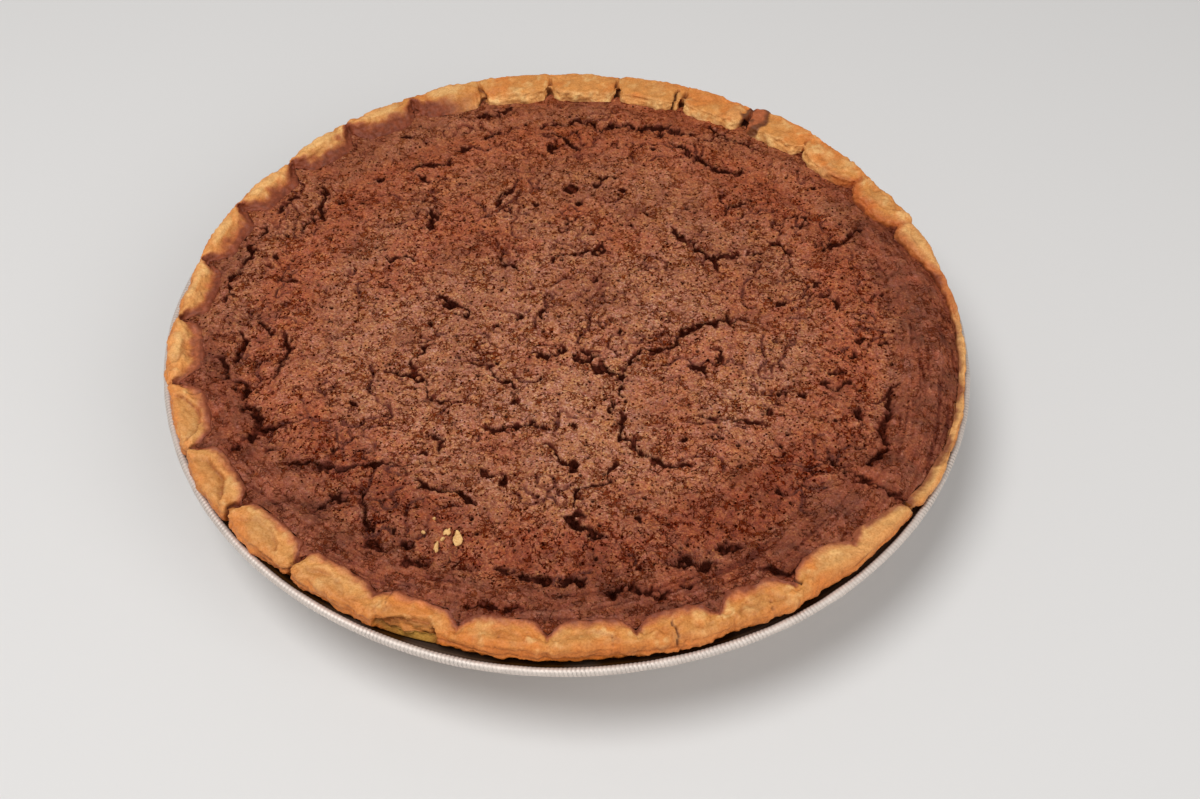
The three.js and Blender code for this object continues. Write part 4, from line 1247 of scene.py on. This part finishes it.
def make_tin():
    """The pressed foil: a smooth base, a pleated wall and a rolled edge with fine ridges."""
    angle = np.arange(TIN_STEPS) * 360 / TIN_STEPS
    arc = np.radians(angle) * BEAD_RADIUS
    pleat = rough(120, [(2.6, 1), (1.3, 0.5)], arc)
    pleat = pleat * np.minimum(rising(angle, 0, 3), falling(angle, 357, 360))
    profile = [(FLAT_RADIUS, 0, 0, 0), (TIN_BASE_RADIUS - 1.5, 0, 0, 0),
               (TIN_BASE_RADIUS - 0.3, 0.25, 0, 0), (FOOT_RADIUS, FOOT_HEIGHT, 0.25, 0)]
    for row in range(1, WALL_ROWS + 1):
        part = row / WALL_ROWS
        height = lerp(FOOT_HEIGHT, FLANGE_TOP - FOIL - 0.3, part)
        radius = lerp(FOOT_RADIUS, TIN_MOUTH_RADIUS - 0.2, part)
        profile.append((radius, height, 0.25 + 0.75 * rising(part, 0, 0.5), 0))
    profile.append((TIN_MOUTH_RADIUS + 1.0, FLANGE_TOP - FOIL, 0.5, 0))
    for row in range(BEAD_ROWS):
        turn = math.radians(lerp(-160, 165, row / (BEAD_ROWS - 1)))
        radius = BEAD_RADIUS + RIDGE_MIDDLE * math.cos(turn)
        profile.append((radius, BEAD_HEIGHT + RIDGE_MIDDLE * math.sin(turn), 0.1, 1))
    profile.append((BEAD_RADIUS - 1.7, FLANGE_TOP + 0.05, 0.3, 0))
    profile.append((tin_inside(FLANGE_TOP), FLANGE_TOP, 0, 0))
    profile.append((tin_inside(FOIL), FOIL, 0, 0))
    profile.append((FLAT_RADIUS, FOIL, 0, 0))

    dented = 0.7 * between(angle, 200, 236, 24)
    right_side = between(angle, 330, 390, 20)
    points = []
    tones = []
    for radius, height, pleated, ridged in profile:
        out = radius + 0.16 * pleated * pleat
        lift = height + 0 * angle
        metal = plain_tones(FOIL_COLOUR, TIN_STEPS)
        if ridged:
            slant = 0.3 * (height - BEAD_HEIGHT)
            ridge = np.abs(np.sin(np.pi * (angle / 360 * BEAD_RIDGES + slant))) ** 0.8 - 0.6
            ridge = ridge * (0.8 + 0.35 * noise(122, 7, arc))
            swell = 1 + 0.13 * ridge + 0.05 * noise(123, 5, arc)
            out = BEAD_RADIUS + (radius - BEAD_RADIUS) * swell + 0.09 * noise(124, 30, arc)
            out = out - dented
            lift = BEAD_HEIGHT + (height - BEAD_HEIGHT) * swell
            # Painted shade in the grooves between the bead's ridges, darker on the right side.
            groove_shade = (0.6 + 0.35 * right_side) * rising(-ridge, 0, 0.5)
            metal = paint(metal, FOIL_GROOVE_SHADE, groove_shade, BEAD_BARENESS)
            metal[:, 3] = BEAD_BARENESS
        points.append(polar(out, angle, lift))
        # The flange rows in the gap under the crust are painted dark brown and matt: baked-on grease, and
        # painted shade of the gap.
        in_grease_and_shade = height > FLANGE_TOP - 2 and radius < BEAD_RADIUS - 0.6 and height < BEAD_HEIGHT + 0.85
        grease_and_shade = (1 if in_grease_and_shade else 0) + 0.05 * noise(125, 8, arc)
        tones.append(paint(metal, FOIL_GREASE_AND_SHADE, grease_and_shade, 0))
    count = len(profile)
    points = np.concatenate(points + [[[0, 0, 0], [0, 0, FOIL]]])
    tones = np.concatenate(tones + [plain_tones(FOIL_COLOUR, 2)])
    faces = [ring_faces((row - 1) * TIN_STEPS, row * TIN_STEPS, TIN_STEPS) for row in range(1, count)]
    faces.append(cap_faces(0, TIN_STEPS, len(points) - 2, False))
    faces.append(cap_faces((count - 1) * TIN_STEPS, TIN_STEPS, len(points) - 1, True))
    piece = make_piece("foil_tin", points, faces, foil_material(), tones)
    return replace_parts(piece, "tin")


# ---------------------------------------------------------------- stage

CAMERA_PLACE = (9.2, -291.0, BEAD_HEIGHT + 294.7)
CAMERA_DOWN = 47.93
CAMERA_ROLL = 0.90
LENS = 44.82
SENSOR = 36.0

# The studio, in metres and watts: a light's name, place, size and power.
LIGHTS = [("key", (-0.35, -0.25, 1.1), 0.6, 7.9), ("fill", (0.7, -0.7, 0.8), 0.9, 4.2)]
LIGHT_AIM = (0, 0, 0.03)
SKY_COLOUR = (1.0, 0.98, 0.96, 1.0)
SKY_STRENGTH = 0.3
FLOOR_SIDE = 6.0
FLOOR_COLOUR = (0.78, 0.77, 0.76, 1.0)


def make_camera():
    down = math.radians(CAMERA_DOWN)
    roll = math.radians(CAMERA_ROLL)
    forward = np.array([0, math.cos(down), -math.sin(down)])
    level = np.array([1.0, 0, 0])
    above = np.cross(level, forward)
    right = level * math.cos(roll) + above * math.sin(roll)
    up = above * math.cos(roll) - level * math.sin(roll)
    columns = np.stack([right, up, -forward, np.array(CAMERA_PLACE) * MM], -1)
    data = bpy.data.cameras.new("camera")
    data.lens = LENS
    data.sensor_width = SENSOR
    data.sensor_fit = "HORIZONTAL"
    data.clip_start = 0.01
    camera = bpy.data.objects.new("camera", data)
    bpy.context.scene.collection.objects.link(camera)
    camera.matrix_world = Matrix([*columns.tolist(), [0, 0, 0, 1]])
    bpy.context.scene.camera = camera


def add_area_light(name, place, size, watts):
    data = bpy.data.lights.new(name, "AREA")
    data.shape = "DISK"
    data.size = size
    data.energy = watts
    light = bpy.data.objects.new(name, data)
    bpy.context.scene.collection.objects.link(light)
    light.rotation_euler = (Vector(place) - Vector(LIGHT_AIM)).to_track_quat("Z", "Y").to_euler()
    light.location = place


def make_stage():
    world = bpy.data.worlds.new("studio")
    world.use_nodes = True
    background = world.node_tree.nodes["Background"]
    background.inputs["Color"].default_value = SKY_COLOUR
    background.inputs["Strength"].default_value = SKY_STRENGTH
    bpy.context.scene.world = world
    bpy.context.scene.view_settings.view_transform = "Standard"
    for name, place, size, watts in LIGHTS:
        add_area_light(name, place, size, watts)
    mesh = bpy.data.meshes.new("floor")
    half = FLOOR_SIDE / 2
    corners = [(-half, -half, 0), (half, -half, 0), (half, half, 0), (-half, half, 0)]
    mesh.from_pydata(corners, [], [(0, 1, 2, 3)])
    mesh.materials.append(Surface("pale_floor").finish({"Base Color": FLOOR_COLOUR, "Roughness": 0.8}))
    floor = bpy.data.objects.new("floor", mesh)
    bpy.context.scene.collection.objects.link(floor)


# ---------------------------------------------------------------- crumbs

# The flakes on the filling: x, y, length, width and turn in degrees.
CRUMBS = [
    (-24.6, -76.0, 4.4, 2.0, 105), (-29.4, -78.8, 3.4, 1.2, 88), (-27.0, -74.2, 2.2, 1.6, 60),
    (-28.0, -76.2, 1.1, 0.9, 20), (-32.8, -74.4, 0.9, 0.7, 0), (-30.6, -70.0, 0.8, 0.6, 40),
]
CRUMB_RINGS = 13
CRUMB_STEPS = 28
CRUMB_COLOUR = srgb(236, 186, 120)


def crumb_mesh(x, y, length, width, turn, seed):
    """The points and faces of a small flat flake of pastry lying on the filling."""
    across, around = CRUMB_RINGS, CRUMB_STEPS
    size = np.repeat(np.linspace(0.12, 1, across), around)
    angle = np.tile(np.arange(around) * 360 / around, across)
    outline = 1 + 0.3 * noise(seed, 40, angle) + 0.16 * noise(seed + 1, 17, angle)
    local_x = size * outline * np.cos(np.radians(angle)) * length / 2
    local_y = size * outline * np.sin(np.radians(angle)) * width / 2
    bow = 0.35 * noise(seed + 2, 1.4, local_x, local_y) + 0.14 * noise(seed + 3, 0.5, local_x, local_y)
    thick = 0.55 * np.sqrt(np.clip(1 - size**2, 0, 1)) + 0.02
    turn = math.radians(turn)
    world_x = x + local_x * math.cos(turn) - local_y * math.sin(turn)
    world_y = y + local_x * math.sin(turn) + local_y * math.cos(turn)
    base = BEAD_HEIGHT + FILL_LEVEL + 0.45
    upper = np.stack([world_x, world_y, base + bow + thick], -1)
    lower = np.stack([world_x, world_y, base + bow - thick], -1)
    centre = [[x, y, base + 0.5], [x, y, base - 0.5]]
    points = np.concatenate([upper, lower, centre])
    start_low = across * around
    faces = []
    for row in range(1, across):
        faces.append(ring_faces(row * around, (row - 1) * around, around))
        faces.append(ring_faces(start_low + (row - 1) * around, start_low + row * around, around))
    faces.append(ring_faces(start_low + (across - 1) * around, (across - 1) * around, around))
    faces.append(cap_faces(0, around, len(points) - 2, True))
    faces.append(cap_faces(start_low, around, len(points) - 1, False))
    return points, faces


def make_crumbs():
    flakes = []
    faces = []
    for number, (x, y, length, width, turn) in enumerate(CRUMBS):
        flake, sides = crumb_mesh(x, y, length, width, turn, 200 + 7 * number)
        start = sum(len(points) for points in flakes)
        faces.extend(side + start for side in sides)
        flakes.append(flake)
    points = np.concatenate(flakes)
    tones = plain_tones(CRUMB_COLOUR, len(points))
    make_piece("crumbs", points, faces, pastry_material("flake"), tones)


make_camera()
make_stage()
make_tin()
make_crust()
make_filling()
make_crumbs()
